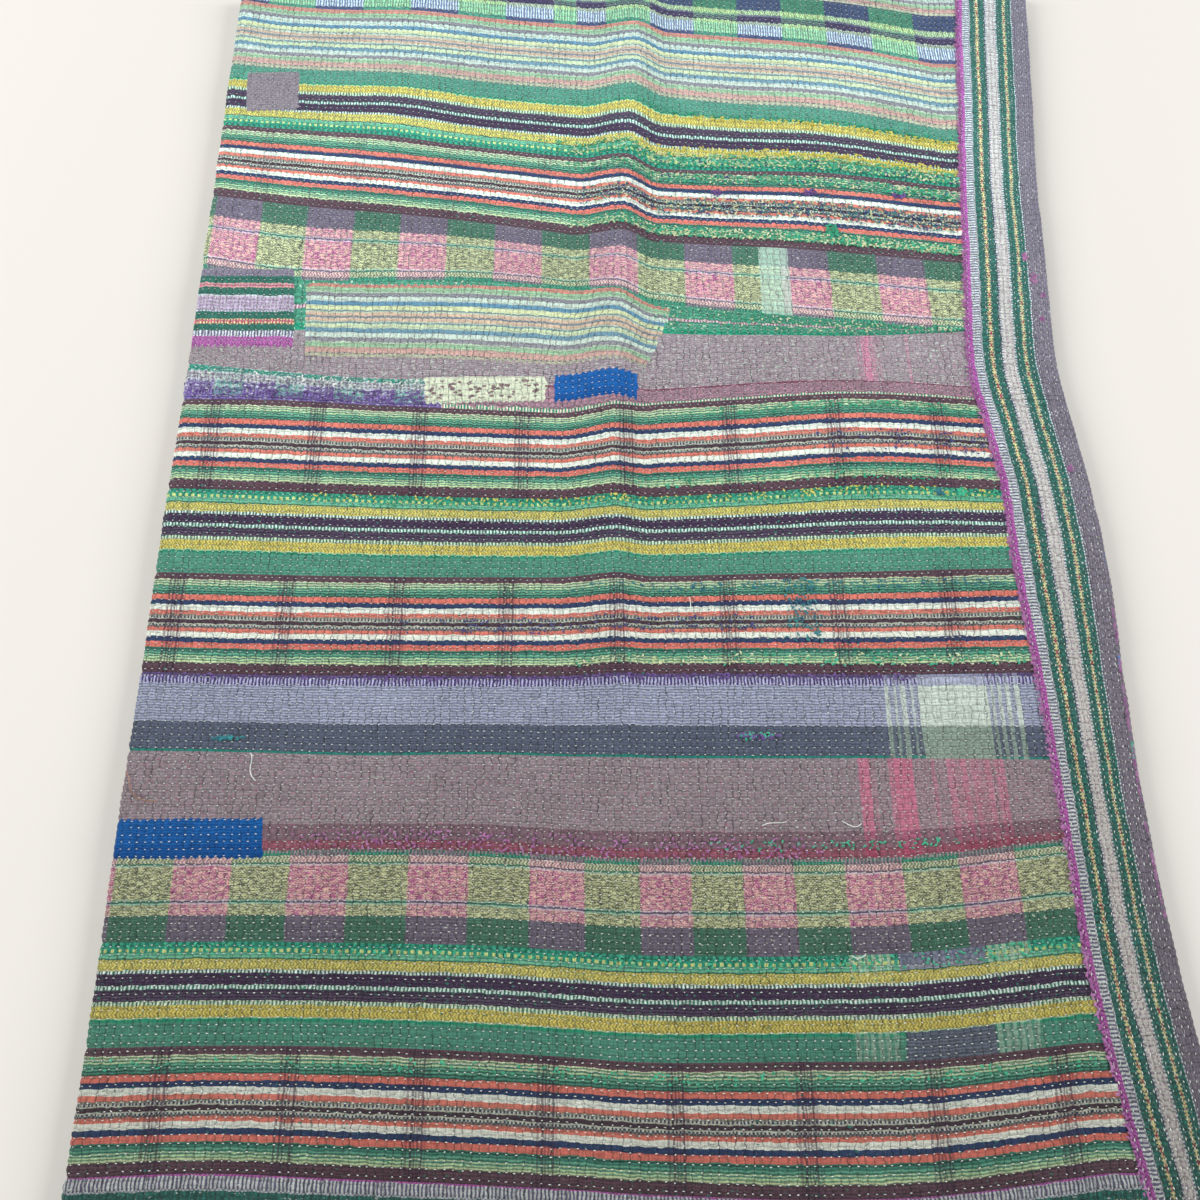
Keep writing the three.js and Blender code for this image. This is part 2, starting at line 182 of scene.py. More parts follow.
def pair_point(upper, across, y, height):
    """across: 0 hem of the outer layer, 1 to 2 round the fold, 3 hem of the inner layer."""
    outer, inner = (1, 2) if upper else (4, 3)
    up = 1 if upper else -1
    turn_x, radius = fold_at(upper, y)
    x_out = mix(hem_x(outer, y), turn_x, np.clip(across, 0, 1))
    x_in = mix(turn_x, hem_x(inner, y), np.clip(across - 2, 0, 1))
    angle = np.pi * np.clip(across - 1, 0, 1)
    middle = (layer_z(outer, turn_x, y) + layer_z(inner, turn_x, y)) / 2
    x_turn = turn_x - (radius + height) * np.sin(angle)
    x = np.where(across <= 1, x_out, np.where(across >= 2, x_in, x_turn))
    z_turn = middle + up * (radius + height) * np.cos(angle)
    z_out = layer_z(outer, x_out, y) + up * height
    z_flat = np.where(across <= 1, z_out, layer_z(inner, x_in, y) - up * height)
    z = np.where((across > 1) & (across < 2), z_turn, z_flat)
    return x, y + 0 * x, z


def cloth_point(across, along, height):
    """along: millimetres from the foot of the upper pair, over the fold, to the lower pair's foot."""
    flat = np.minimum(along, TURN_Y)
    x, y, z = pair_point(True, across, flat, height)
    x2, _, z2 = pair_point(False, across, np.full_like(flat, TURN_Y), height)
    radius = (z - z2) / 2
    past = np.clip((along - TURN_Y) / (np.pi * np.maximum(radius, 1)), 0, 1)
    turned = along > TURN_Y
    x = np.where(turned, mix(x, x2, ease(past)), x)
    y = np.where(turned, TURN_Y + radius * np.sin(np.pi * past), y)
    z = np.where(turned, (z + z2) / 2 + radius * np.cos(np.pi * past), z)
    return x, y, z


def on_face(x, y, height):
    """A point over the pieced face of layer 1, also round its folds and hems."""
    x, y, height = np.broadcast_arrays(x, y, height)
    flat = np.clip(y, 0, TURN_Y)
    hem = hem_x(1, flat)
    turn_x, radius = fold_at(True, flat)
    over_hem = np.clip((x - hem) / np.maximum(height, 0.5), 0, ROUND_HEM)
    end = end_y(1, x)
    over_end = np.clip((end - y) / np.maximum(height, 0.5), 0, ROUND_HEM)
    before_turn = np.clip((hem - x) / (hem - turn_x), 0, 1)
    across = np.where(x >= turn_x, before_turn, 1 + (turn_x - x) / (np.pi * (radius + CLOTH / 2)))
    facing = height * np.cos(over_hem) * np.cos(over_end)
    px, py, pz = cloth_point(across, np.maximum(y, end), facing)
    return np.stack([px + height * np.sin(over_hem), py - height * np.sin(over_end), pz], axis=-1)


# The spotted patch shows where the frame has the cloth: its near left corner is at 206, 660 mm.
corner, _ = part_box("patch_spotted")
shift = np.array([corner.x * 1000 - 206, corner.y * 1000 - 660, 0])


def metres(points):
    """From the cloth's millimetres to the frame's metres."""
    return (np.asarray(points, float) + shift) / 1000


print("the cloth's corner stands at", metres([0, 0, 0]).round(4), "m")

# %% [markdown]
# ## Camera, floor and light
# The camera stands 0.8 m over the foot of the quilt and looks down at 70
# degrees. The floor is plain and pale, and the world is a dim white room. Large
# lights on both sides give every little pucker of the quilting a light and a
# dark side and leave a soft shade along the edges. Two weaker ones shine from
# the far end and from the front.

# %% Camera
scene = bpy.context.scene
EYE_MM = [355.6, 195.0, 777.0 + 18.2]   # above the face of the quilt, which lies 18.2 mm high
LOOKS_DOWN, TURNED = 69.8, 0.477        # degrees
PICTURE, FOCAL = 1200, 1038             # in the same units
eye = metres(EYE_MM)
tilt = math.radians(90 - LOOKS_DOWN)
bpy.ops.object.camera_add(location=eye, rotation=(tilt, 0, math.radians(-TURNED)))
camera = bpy.context.active_object
camera.name = "camera"
camera.data.sensor_width = 36
camera.data.lens = camera.data.sensor_width * FOCAL / PICTURE
camera.data.clip_start = 0.01
scene.camera = camera
scene.view_settings.view_transform = "Standard"
print("camera at", eye.round(3), "lens", round(camera.data.lens, 2), "mm")


# %% Helpers for colours and shader nodes
def linear(colour):
    """A hex colour as linear red, green, blue and 1."""
    parts = [int(colour[i:i + 2], 16) / 255 for i in (1, 3, 5)]
    return tuple(c / 12.92 if c <= 0.04045 else ((c + 0.055) / 1.055) ** 2.4 for c in parts) + (1.0,)


def put(tree, kind, inputs=(), out=0, stops=(), **settings):
    """Adds a shader node: sockets to link or values by place, stops of a colour ramp, other settings."""
    node = tree.nodes.new("ShaderNode" + kind)
    for name, value in settings.items():
        setattr(node, name, value)
    places = inputs.items() if isinstance(inputs, dict) else enumerate(inputs)
    for place, given in places:
        if isinstance(given, bpy.types.NodeSocket):
            tree.links.new(given, node.inputs[place])
        elif given is not None:
            node.inputs[place].default_value = given
    if stops:
        node.color_ramp.interpolation = "CONSTANT"
        bands = node.color_ramp.elements
        while len(bands) < len(stops):
            bands.new(0.5)
        for band, (position, colour) in zip(bands, stops):
            band.position = position
            band.color = colour
    return node.outputs[out] if node.outputs else None


def calc(tree, work, *values, **settings):
    """A sum, product or other work on numbers."""
    return put(tree, "Math", values, operation=work, **settings)


def vector(tree, work, *values):
    """The same for vectors."""
    return put(tree, "VectorMath", values, operation=work)


def sine(tree, value, period):
    return calc(tree, "SINE", calc(tree, "MULTIPLY", value, 2 * math.pi / period))


def noise(tree, place, scale, detail, out=0):
    return put(tree, "TexNoise", {"Vector": place, "Scale": scale, "Detail": detail}, out=out)


def streaks(tree, place, per_metre, detail):
    """Noise drawn out one way: per_metre says how many fit in a metre along x and along y."""
    return noise(tree, vector(tree, "MULTIPLY", place, (*per_metre, 1)), 1.0, detail)


def shaken(tree, place, scale, detail, reach):
    """A place that noise has pushed a little way off."""
    push = vector(tree, "SUBTRACT", noise(tree, place, scale, detail, out=1), (0.5, 0.5, 0.5))
    return vector(tree, "ADD", place, put(tree, "VectorMath", {0: push, 3: reach}, operation="SCALE"))


def tint(tree, share, base, other):
    """The base colour with a share of the other."""
    return put(tree, "Mix", {0: share, 6: base, 7: other}, out=2, data_type="RGBA")


def new_material(name):
    """An empty material, and the tree of its nodes."""
    material = bpy.data.materials.new(name)
    material.use_nodes = True
    material.node_tree.nodes.clear()
    return material, material.node_tree


# %% Floor, world and lights
bpy.ops.object.select_all(action="DESELECT")
bpy.ops.mesh.primitive_plane_add(size=12, location=(0, 0, 0))
floor = bpy.context.active_object
floor.name = "floor"
matt, tree = new_material("matt_pale_floor")
grit = put(tree, "TexNoise", {2: 3.0})
tone = tint(tree, grit, linear("#dfdcd6"), linear("#dcd9d3"))
surface = put(tree, "BsdfPrincipled", {"Base Color": tone, "Roughness": 0.9, "Specular IOR Level": 0.1})
put(tree, "OutputMaterial", [surface])
floor.data.materials.append(matt)

world = bpy.data.worlds.new("studio")
world.use_nodes = True
scene.world = world
world.node_tree.nodes["Background"].inputs[0].default_value = linear("#f7f5f2")
world.node_tree.nodes["Background"].inputs[1].default_value = 0.15


def soft_light(name, place, aim, size, power):
    """A square soft box that looks at a point."""
    bpy.ops.object.light_add(type="AREA", location=place)
    light = bpy.context.active_object
    light.name = name
    light.data.size = size
    light.data.energy = power
    way = np.array(aim, float) - np.array(place, float)
    light.rotation_euler = (math.acos(-way[2] / np.linalg.norm(way)), 0, math.atan2(-way[0], way[1]))


soft_light("key", (-0.3, 2.8, 1.7), (0, 0, 0), 1.2, 39)
soft_light("left_side", (-2.8, -0.1, 1.8), (0, 0, 0), 2.0, 95)
soft_light("right_side", (2.8, -0.1, 1.8), (0, 0, 0), 2.0, 95)
soft_light("front", (0.4, -2.6, 2.2), (0, -0.3, 0), 1.4, 8)
print("stage set")

# %% [markdown]
# ## Sheets from a grid
# Cloth starts as Blender's own grid. Its corners are then moved, all at once,
# to where the cloth lies, and the UV map keeps the flat cloth: one unit is one
# metre of thread, so a stripe that is 4 mm wide is 0.004 wide in every pattern.

# %% A grid that lies as cloth
def cloth_grid(name, points, flat_x, flat_y, sewn_x, sewn_y, material):
    """points: rows x columns x 3 in mm. flat_x, flat_y: the same places on the flat cloth, in mm.
    sewn_x, sewn_y: the same places counted in stitches, whole numbers at a stitch."""
    rows, columns = points.shape[:2]
    bpy.ops.object.select_all(action="DESELECT")
    bpy.ops.mesh.primitive_grid_add(x_subdivisions=columns - 1, y_subdivisions=rows - 1, size=2)
    piece = bpy.context.active_object
    piece.name = name
    piece.data.name = name
    mesh = piece.data
    start = np.empty(len(mesh.vertices) * 3)
    mesh.vertices.foreach_get("co", start)
    start = start.reshape(-1, 3)
    i = np.rint((start[:, 0] + 1) / 2 * (columns - 1)).astype(int)
    j = np.rint((start[:, 1] + 1) / 2 * (rows - 1)).astype(int)
    mesh.vertices.foreach_set("co", metres(points[j, i]).ravel())
    corners = np.empty(len(mesh.loops), int)
    mesh.loops.foreach_get("vertex_index", corners)
    mesh.uv_layers[0].name = "cloth"
    mesh.uv_layers.new(name="stitch")
    for layer, (u, v) in (("cloth", (flat_x / 1000, flat_y / 1000)), ("stitch", (sewn_x, sewn_y))):
        flat = np.stack([u[j, i], v[j, i]], axis=-1)
        mesh.uv_layers[layer].uv.foreach_set("vector", flat[corners].ravel())
    mesh.materials.append(material)
    mesh.shade_smooth()
    mesh.update()
    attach(piece, "root")
    return piece


def wander(x, y, size, seed):
    """A smooth random height from -1 to 1 whose bumps are about size wide."""
    rng = np.random.default_rng(seed)
    total = 0
    for _ in range(7):
        turn = rng.uniform(0, 2 * np.pi)
        step = 2 * np.pi / (size * rng.uniform(0.7, 1.6))
        total = total + np.sin(step * (x * np.cos(turn) + y * np.sin(turn)) + rng.uniform(0, 2 * np.pi))
    return total / 4.5


# %% [markdown]
# ## Woven cotton, written like a weaver's draft
# Sari cloth is plain weave. A weft stripe runs across the whole width, a warp
# stripe crosses it. So each cloth below is a table of weft stripes with these
# columns: width in mm, ground colour, fleck (the second yarn), weave, and the
# ground and the fleck where the warp stripes cross. The weave says how the
# second yarn shows: `plain` not at all, `dots` beside one another as in a comb,
# `chevron` as little arrows, `lines` as fine stripes, `brocade` as a broken
# twill, `checks` as squares, `rings` as loops, `beads` and `spots` as a
# few bright threads and `twist` as a yarn that turns round another. Rows leave
# out what repeats: a plain stripe has its width, its colour and, if it changes,
# the colour where it is crossed. A colour ramp holds each column.

# %% How a draft becomes shader nodes
WEAVES = ("dots", "chevron", "lines", "brocade", "checks", "rings", "beads", "twist", "spots")


def blend(colour, other, share):
    """A hex colour part of the way to another."""
    pairs = [(int(colour[i:i + 2], 16), int(other[i:i + 2], 16)) for i in (1, 3, 5)]
    return "#" + "".join(f"{round(a + (b - a) * share):02x}" for a, b in pairs)


def weave_marks(tree, x, y):
    """How much of the second yarn each weave shows, 0 or 1, by the thread."""
    def sharp(value, gain=3.0, rise=0.5):
        return calc(tree, "MULTIPLY_ADD", value, gain, rise, use_clamp=True)

    across = sine(tree, x, 0.0027)
    arrow = calc(tree, "PINGPONG", y, 0.0019)
    slant = calc(tree, "ADD", x, arrow)
    uneven = noise(tree, put(tree, "CombineXYZ", [x, y]), 480.0, 3.0)
    uneven = calc(tree, "MULTIPLY_ADD", uneven, 9.0, -4.5)
    twill = calc(tree, "ADD", calc(tree, "PINGPONG", x, 0.0050), y)
    # The brocade's floats are 5 mm long and 0.8 mm thick, and thicken into a lattice of 13 by 11.5 mm motifs.
    floats = streaks(tree, put(tree, "CombineXYZ", [x, y]), (200, 1250), 2.0)
    floats = calc(tree, "MULTIPLY_ADD", floats, 10.0, -5.0)
    motif = calc(tree, "MULTIPLY", sine(tree, x, 0.013), sine(tree, y, 0.0115))
    motif = calc(tree, "MULTIPLY_ADD", motif, 0.5, sine(tree, twill, 0.0023))
    broken = calc(tree, "MULTIPLY_ADD", motif, 0.6, floats)
    loops = calc(tree, "ADD", calc(tree, "ADD", sine(tree, x, 0.0034), sine(tree, y, 0.0038)), uneven)
    stray = calc(tree, "ADD", sine(tree, x, 0.0031), uneven)
    square = calc(tree, "MINIMUM", sine(tree, x, 0.0052), sine(tree, y, 0.0046))
    return {
        "dots": sharp(across),
        "chevron": sharp(sine(tree, slant, 0.0026), 2.0),
        "lines": sharp(sine(tree, y, 0.0021), 2.0),
        "brocade": sharp(broken, 1.1, 0.45),
        "checks": sharp(square, 5.0, 0.6),
        "rings": sharp(loops, 1.0, 0.3),
        "beads": sharp(stray, 1.4, -0.6),
        "spots": sharp(loops, 1.0, -0.6),
        "twist": sharp(calc(tree, "ADD", sine(tree, calc(tree, "ADD", x, y), 0.0105), uneven), 3.0, -0.9),
    }


def all_columns(draft):
    """A draft with every column filled in."""
    full = []
    for width, ground, *rest in draft:
        if len(rest) < 2:
            crossed = rest[0] if rest else ground
            rest = [ground, "plain", crossed, crossed]
        elif len(rest) == 2:
            rest = [*rest, ground, rest[0]]
        full.append((width, ground, *rest))
    return full


def weft_colour(tree, position, draft, marks, ground, fleck):
    """The colour of the stripes, from two columns of a draft."""
    total = sum(row[0] for row in draft)
    starts = np.cumsum([0] + [row[0] for row in draft])[:-1] / total
    base, second = (put(tree, "ValToRGB", [position],
                        stops=[(s, linear(row[column])) for s, row in zip(starts, draft)])
                    for column in (ground, fleck))
    share = None
    for group in (WEAVES[:3], WEAVES[3:6], WEAVES[6:]):
        on = [(s, tuple(float(row[3] == weave) for weave in group) + (0,) * (4 - len(group)))
              for s, row in zip(starts, draft)]
        if not any(any(colour) for _, colour in on):
            continue
        masks = put(tree, "ValToRGB", [position], stops=[(s, colour[:3] + (1,)) for s, colour in on])
        parts = put(tree, "SeparateColor", [masks]).node.outputs
        for weave, mask in zip(group, parts):
            if not any(row[3] == weave for row in draft):
                continue
            marked = calc(tree, "MULTIPLY", mask, marks[weave])
            share = marked if share is None else calc(tree, "MAXIMUM", share, marked)
    if share is None:
        return base
    return tint(tree, share, base, second)


print("weaves:", ", ".join(WEAVES))

# %% [markdown]
# The finish is the same for all of them. Threads 0.3 mm thick are too fine to
# show at this distance, so the weave is drawn with 1.1 mm threads. Slubs are
# thick places in a yarn: long, thin streaks. Old cotton is faded in patches and
# fluffy, which the sheen gives, and it is never glossy.

# %% The finish of worn cotton
DRAWN_THREAD = 0.0011   # metres


def valley(tree, count, low, high, width):
    """From low at every whole number to high between, over width on each side."""
    near = calc(tree, "FRACT", calc(tree, "ADD", count, 0.5))
    near = calc(tree, "ABSOLUTE", calc(tree, "SUBTRACT", near, 0.5))
    return put(tree, "MapRange", [near, 0.0, width, low, high], interpolation_type="SMOOTHSTEP")


def finish_cotton(tree, x, y, colour, fade=0.02, wear=0.2, depth=1.0, flecks=()):
    """flecks: colours of stray yarns, and how rare each is from 0.5 (common) to 0.7."""
    place = put(tree, "CombineXYZ", [x, y])
    for number, (yarn, rare) in enumerate(flecks):
        fleck = streaks(tree, place, (260 + 90 * number, 560), 1.0)
        fleck = put(tree, "MapRange", [fleck, rare, rare + 0.04, 0.0, 0.85])
        colour = tint(tree, fleck, colour, linear(yarn))
    # Slubs along the weft are 11 mm long and 0.9 mm thick, those of the warp a little finer.
    yarns = calc(tree, "ADD", streaks(tree, place, (90, 1100), 2.0), streaks(tree, place, (1000, 80), 2.0))
    tone = put(tree, "MapRange", [yarns, 0.7, 1.3, 0.66, 1.34])
    patches = put(tree, "TexNoise", {"Vector": place, "Scale": 9.0, "Detail": 3.0, "Roughness": 0.6})
    cloudy = put(tree, "MapRange", [patches, 0.3, 0.7, 0.90, 1.10])
    tone = calc(tree, "MULTIPLY", tone, cloudy)
    # Painted shade darkens the creases that run from stitch to stitch and the grooves between the lines of
    # stitches, and lightens the cloth a little between them; depth sets how dark the painted shade is and how
    # high the pillows of the bump stand.
    counted = shaken(tree, put(tree, "UVMap", uv_map="stitch"), 0.9, 3.0, 1.1)
    stitch, line = put(tree, "SeparateXYZ", [counted]).node.outputs[:2]
    sharpness = noise(tree, counted, 0.31, 2.0)
    darkest = put(tree, "MapRange", [sharpness, 0.35, 0.62, 1 - 0.18 * depth, 1 - 0.72 * depth])
    painted_crease_shade = valley(tree, stitch, darkest, 1.06, 0.12)
    painted_groove_shade = valley(tree, line, 1 - 0.30 * depth, 1.04, 0.18)
    tone = calc(tree, "MULTIPLY", tone, calc(tree, "MULTIPLY", painted_crease_shade, painted_groove_shade))
    # Painted light: the cloth is darker and warmer towards the foot and brighter and cooler towards the far
    # end, as the light falls off from the far end.
    along = put(tree, "SeparateXYZ", [put(tree, "TexCoord", out=3)], out=1)
    painted_light_falloff = put(tree, "MapRange", [along, -0.55, 0.35, 0.54, 1.30])
    tone = calc(tree, "MULTIPLY", tone, painted_light_falloff)
    toned = put(tree, "VectorMath", {0: colour, 3: tone}, operation="SCALE")
    red = put(tree, "MapRange", [along, -0.3, 0.5, 1.0, 0.90])
    blue = put(tree, "MapRange", [along, -0.3, 0.5, 0.98, 1.05])
    toned = vector(tree, "MULTIPLY", toned, put(tree, "CombineXYZ", [red, 1.0, blue]))
    # The fade in patches is the cloth's own; the extra grey-green that grows towards the far end is painted
    # haze.
    fade_and_painted_haze = put(tree, "MapRange", [along, 0.1, 0.6, fade, fade + 0.03])
    grey = calc(tree, "MULTIPLY", calc(tree, "MULTIPLY", patches, 2.0), fade_and_painted_haze)
    faded_and_hazed = tint(tree, grey, toned, linear("#bcd0c8"))
    fluff = noise(tree, place, 620.0, 2.0)
    fluff = put(tree, "MapRange", [fluff, 0.60, 0.78, 0.0, wear])
    worn = tint(tree, fluff, faded_and_hazed, linear("#d9d8cd"))
    # Threads, small creases and the pillows of the quilting make one height.
    weave = calc(tree, "MULTIPLY", sine(tree, x, DRAWN_THREAD), sine(tree, y, DRAWN_THREAD))
    creases = noise(tree, place, 260.0, 3.0)
    height = calc(tree, "MULTIPLY_ADD", creases, 6.0, weave)
    pillow = calc(tree, "MULTIPLY", valley(tree, stitch, 0.0, 1.0, 0.26), valley(tree, line, 0.45, 1.0, 0.3))
    height = calc(tree, "MULTIPLY_ADD", pillow, 4.0 * depth, height)
    bump = put(tree, "Bump", {"Strength": 0.9, "Distance": 0.00032, "Height": height})
    cotton = put(tree, "BsdfPrincipled", {
        "Base Color": worn, "Normal": bump, "Roughness": 0.9, "Specular IOR Level": 0.2,
        "Sheen Weight": 0.08, "Sheen Roughness": 0.4, "Sheen Tint": linear("#efe9df")})
    put(tree, "OutputMaterial", [cotton])


def flat_place(tree, shake=0.0026):
    """x and y on the flat cloth, a little shaken so that no stripe has a ruled edge."""
    moved = shaken(tree, put(tree, "UVMap", uv_map="cloth"), 160.0, 2.0, shake)
    return put(tree, "SeparateXYZ", [moved]).node.outputs[:2]


def woven(name, draft, warp=(), repeat=None, begin=0.0, reach=1.0, pale=None, **finish):
    """A woven cotton from its draft. warp: (mm, share) where warp stripes start and how much
    they show, either in a repeat or over a reach from begin. pale: middle and half-width in mm
    of a paler block, and its colour."""
    draft = all_columns(draft)
    material, tree = new_material(name)
    x, y = flat_place(tree)
    total = sum(row[0] for row in draft) / 1000
    position = calc(tree, "DIVIDE", y, total, use_clamp=True)
    marks = weave_marks(tree, x, y)
    colour = weft_colour(tree, position, draft, marks, 1, 2)
    if warp:
        crossed = weft_colour(tree, position, draft, marks, 4, 5)
        length = repeat or reach
        along = calc(tree, "SUBTRACT", x, begin / 1000)
        along = calc(tree, "DIVIDE", along, length / 1000)
        along = calc(tree, "FRACT", along) if repeat else along
        stops = [((at - begin) / length, (share, share, share, 1)) for at, share in warp]
        there = put(tree, "ValToRGB", [along], stops=stops)
        colour = tint(tree, there, colour, crossed)
    if pale:
        inside = calc(tree, "COMPARE", x, pale[0] / 1000, pale[1] / 1000)
        inside = calc(tree, "MULTIPLY", inside, 0.7)
        colour = tint(tree, inside, colour, linear(pale[2]))
    finish_cotton(tree, x, y, colour, **finish)
    material.diffuse_color = linear(draft[len(draft) // 2][1])
    return material


print("cotton finish ready")

# %% [markdown]
# ## The saris in this quilt
# Seven old saris were cut into strips. The same one comes back several times
# over the length of the quilt, sometimes turned end for end, which is how a
# pieced face gets its rhythm. Widths are those of the real stripes.

# %% Drafts of the woven cottons
PURPLE = "#38183a"

stripe_sari = [
    (5.4, "#554047", "#6d4a5c", "lines"), (2.8, "#e6efc9", "#7ba583", "lines"),
    (3.0, "#cfe6b6", "#4f8d77", "lines"), (3.0, "#74bb9c", "#357866", "lines"),
    (3.4, "#4f957f", "#2b5f54", "lines"), (4.2, "#e87f70"), (4.0, "#2c3f6a"), (4.8, "#f7fcf0"),
    (3.2, "#e88474"), (1.7, "#7c7b76", "#a9a698", "dots"), (1.1, "#2f3c60", "#d3d6c6", "dots"),
    (0.9, "#c3c6b6"), (3.2, "#4d3644"), (0.9, "#c8cbbb"), (1.1, "#2f3c60", "#d3d6c6", "dots"),
    (1.8, "#83807a", "#5b5560", "dots"), (3.0, "#e98474"), (4.2, "#fafdf0"), (4.0, "#2b406c"),
    (4.3, "#ea7e70"), (3.2, "#46907a", "#285c52", "lines"), (3.0, "#74b899", "#3b8170", "lines"),
    (3.0, "#c9e6b4", "#549480", "lines"), (2.6, "#e2edbe", "#7aa681", "lines"),
    (6.8, "#523b43", "#6a4559", "lines"),
]
stripe_sari = [row[:4] + (blend(row[1], PURPLE, 0.8), blend(row[2], PURPLE, 0.8))
               for row in all_columns(stripe_sari)]
dark_lines = [(0, 0), (1, 0.55), (2.6, 0.1), (4.2, 0.75), (5.8, 0.18), (6.6, 0.65), (7.8, 0.1),
              (8.8, 0.55), (9.8, 0.12), (11.4, 0.75), (13, 0.1), (13.8, 0.35), (14.8, 0)]
faint_lines = [(at, share * 0.4) for at, share in dark_lines]

purple_sari = [
    (2.6, "#16806a", "#3aae90", "checks", "#b7dcb9", "#8fc2a4"),
    (4.6, "#29a285", "#dbe997", "checks", "#c3dcbd", "#e1e8a8"),
    (3.6, "#84caa6", "#57b094", "lines", "#c3e0c8", "#a8cfb2"), (0.8, "#2f6f58", "#8fb59c"),
    (7.2, "#ecdf80", "#b0ab55", "chevron", "#f4ea90", "#c8c46e"),
    (2.0, "#effff9", "#4a7566", "dots", "#f4f7f0", "#688a7a"), (8.2, "#392345", "#4a3356", "lines"),
    (2.6, "#e8fcf6", "#478a72", "dots", "#ffffff", "#5ea089"), (0.8, "#434a55"),
    (7.0, "#3a2546", "#5a4963", "lines", "#341f3e", "#4c3656"),
    (2.8, "#e6f6da", "#5f8f74", "dots", "#f4f7f0", "#688a7a"),
    (7.9, "#eddc74", "#b2a64e", "chevron", "#f8ee86", "#c6be6c"), (0.9, "#b7dcb2", "#d3e6c8"),
    (1.8, "#189a74", "#90c3a9"), (15.4, "#5aa08a", "#4b917c", "lines", "#a2c2ac", "#93b3a3"),
]
# The plaid end of this sari: two bands of pale warp stripes, at 1.53 and 1.63 m.
plaid_end = [(1530, 0)]
for start in (1531, 1630):
    for n in range(6):
        plaid_end += [(start + 5.2 * n, 0.85), (start + 5.2 * n + 3.2, 0.12)]
    plaid_end += [(start + 32, 0)]

# Between those two bands the plain rows are slate.
slate_rows = {0: "#6d7390", 1: "#7c829b", 2: "#8f95a6", 13: "#5a6578", 14: "#525d70"}
purple_slate = all_columns(purple_sari)
for i, slate in slate_rows.items():
    width, _, _, weave, *_ = purple_slate[i]
    purple_slate[i] = (width, slate, blend(slate, "#ffffff", 0.2), weave)

block_sari = [
    (2.2, "#4ca387", "#2f7f69", "dots", "#938a8f", "#6a6478"),
    (4.6, "#d4dcb8", "#7f8a6e", "chevron", "#ecd0c4", "#ae8095"), (1.2, "#3f866c", "#7a6680"),
    (1.2, "#b4ceb8", "#e0c8d2"), (24.0, "#72785f", "#dbdfae", "brocade", "#bb5f96", "#efc6b8"),
    (1.2, "#9fc6b0", "#d6c0d0"), (1.2, "#33735a", "#655472"), (1.2, "#9fc6b0", "#d0bdcb"),
    (7.6, "#dbdfb0", "#7a8464", "brocade", "#eec4b8", "#b86c97"),
    (19.0, "#4c7d69", "#3c6c59", "lines", "#7a7082", "#6a6076"),
]
pink_blocks = [(0, 0), (42, 1)]

fine_sari = [
    (5.4, "#d39082"), (4.8, "#90bc9a", "#adcda7", "lines"), (1.2, "#c2d2b9"), (4.2, "#92939a"),
    (5.0, "#d1dfd2"), (4.3, "#6797b2"), (5.0, "#dde4b6"), (1.3, "#7e9da3"), (1.5, "#c7d3c0"),
    (3.4, "#dbbfa6"), (2.0, "#85939e"), (3.4, "#dbbfa6"), (1.4, "#c7d3c0"), (1.4, "#7e9da3"),
    (4.8, "#d1ddb8"), (4.4, "#769daf"), (5.0, "#d1dfd2"), (4.6, "#96959c"), (1.2, "#c2d2b9"),
    (4.6, "#90bc9a", "#adcda7", "lines"), (5.6, "#d2a99f"), (4.6, "#c4c2a8", "#7d7882", "checks"),
]

night_sari = [
    (15.0, "#4a8a70", "#3f7a63", "lines", "#46567a", "#3a4868"),
    (5.0, "#d3e3a2", "#7fae82", "chevron", "#c9dc9f", "#7f9f95"), (2.0, "#7fb38e", "#6b6f86"),
    (5.5, "#4a4160", "#6b8f7f", "lines", "#3a2d52", "#4d4468"),
    (3.5, "#d6e6a8", "#86b98a", "chevron", "#c9d5a9", "#7f8f9f"),
    (11.0, "#b4dcb4", "#6bae8a", "dots", "#d7e4ea", "#6f80a8"), (3.0, "#4f9a85", "#4a5982"),
]
night_blocks = [(0, 0), (48, 1)]

lavender_sari = [
    (2.4, "#5d4a80", "#999cbb"), (6.2, "#4d3d82", "#c9c8ea", "dots", "#a9b0cc", "#c5c9e0"),
    (30.0, "#858bad", "#bcc2d6", "lines", "#e0ece3", "#cfdccf"),
    (22.0, "#515a72", "#626b80", "lines", "#9caea2", "#8ba094"), (1.8, "#218a7e", "#9caea2"),
]
pale_window = [(570, 0), (577, 0.85), (580, 0.1), (584, 0.8), (586, 0.1), (589, 0.8), (593, 0.05), (597, 0.7),
               (599, 0.1), (603, 1), (656, 0.15), (658.5, 0.75), (661, 0.1), (664, 0.85), (667, 0.1),
               (670, 0.85), (673, 0.1), (677, 0.9), (681, 0)]

mauve_sari = [
    (52.0, "#a8989f", "#948690", "lines", "#e483a4", "#d06f92"),
    (12.0, "#8e6a7b", "#7f6a74", "lines", "#c16488", "#b05a7c"),
    (7.0, "#a4546c", "#8d5766", "lines", "#bb446c", "#a8486a"), (2.0, "#3f8273", "#aa959d", "dots"),
]
pink_lines = [(545, 0), (551, 0.8), (560, 0.15), (562, 0.3), (563, 0.05), (574, 0.6), (578, 0.85), (592, 0.1),
              (606, 0.45), (609, 0.1), (618, 0.55), (624, 0.3), (628, 0.6), (633, 0.3), (637, 0.55),
              (642, 0.3), (646, 0.55), (651, 0.25), (655, 0.6), (661, 0.05)]

# The same sari further along, washed paler, with two pink lines only.
pale_mauve = [(52.0, "#af9da5", "#988b93", "lines", "#e08fae", "#cf7f9f")]
two_lines = [(580, 0), (583, 0.35), (586, 0.1), (588, 0.9), (595, 0.5), (598, 0.2), (604, 0),
             (627, 0.5), (629.5, 0)]

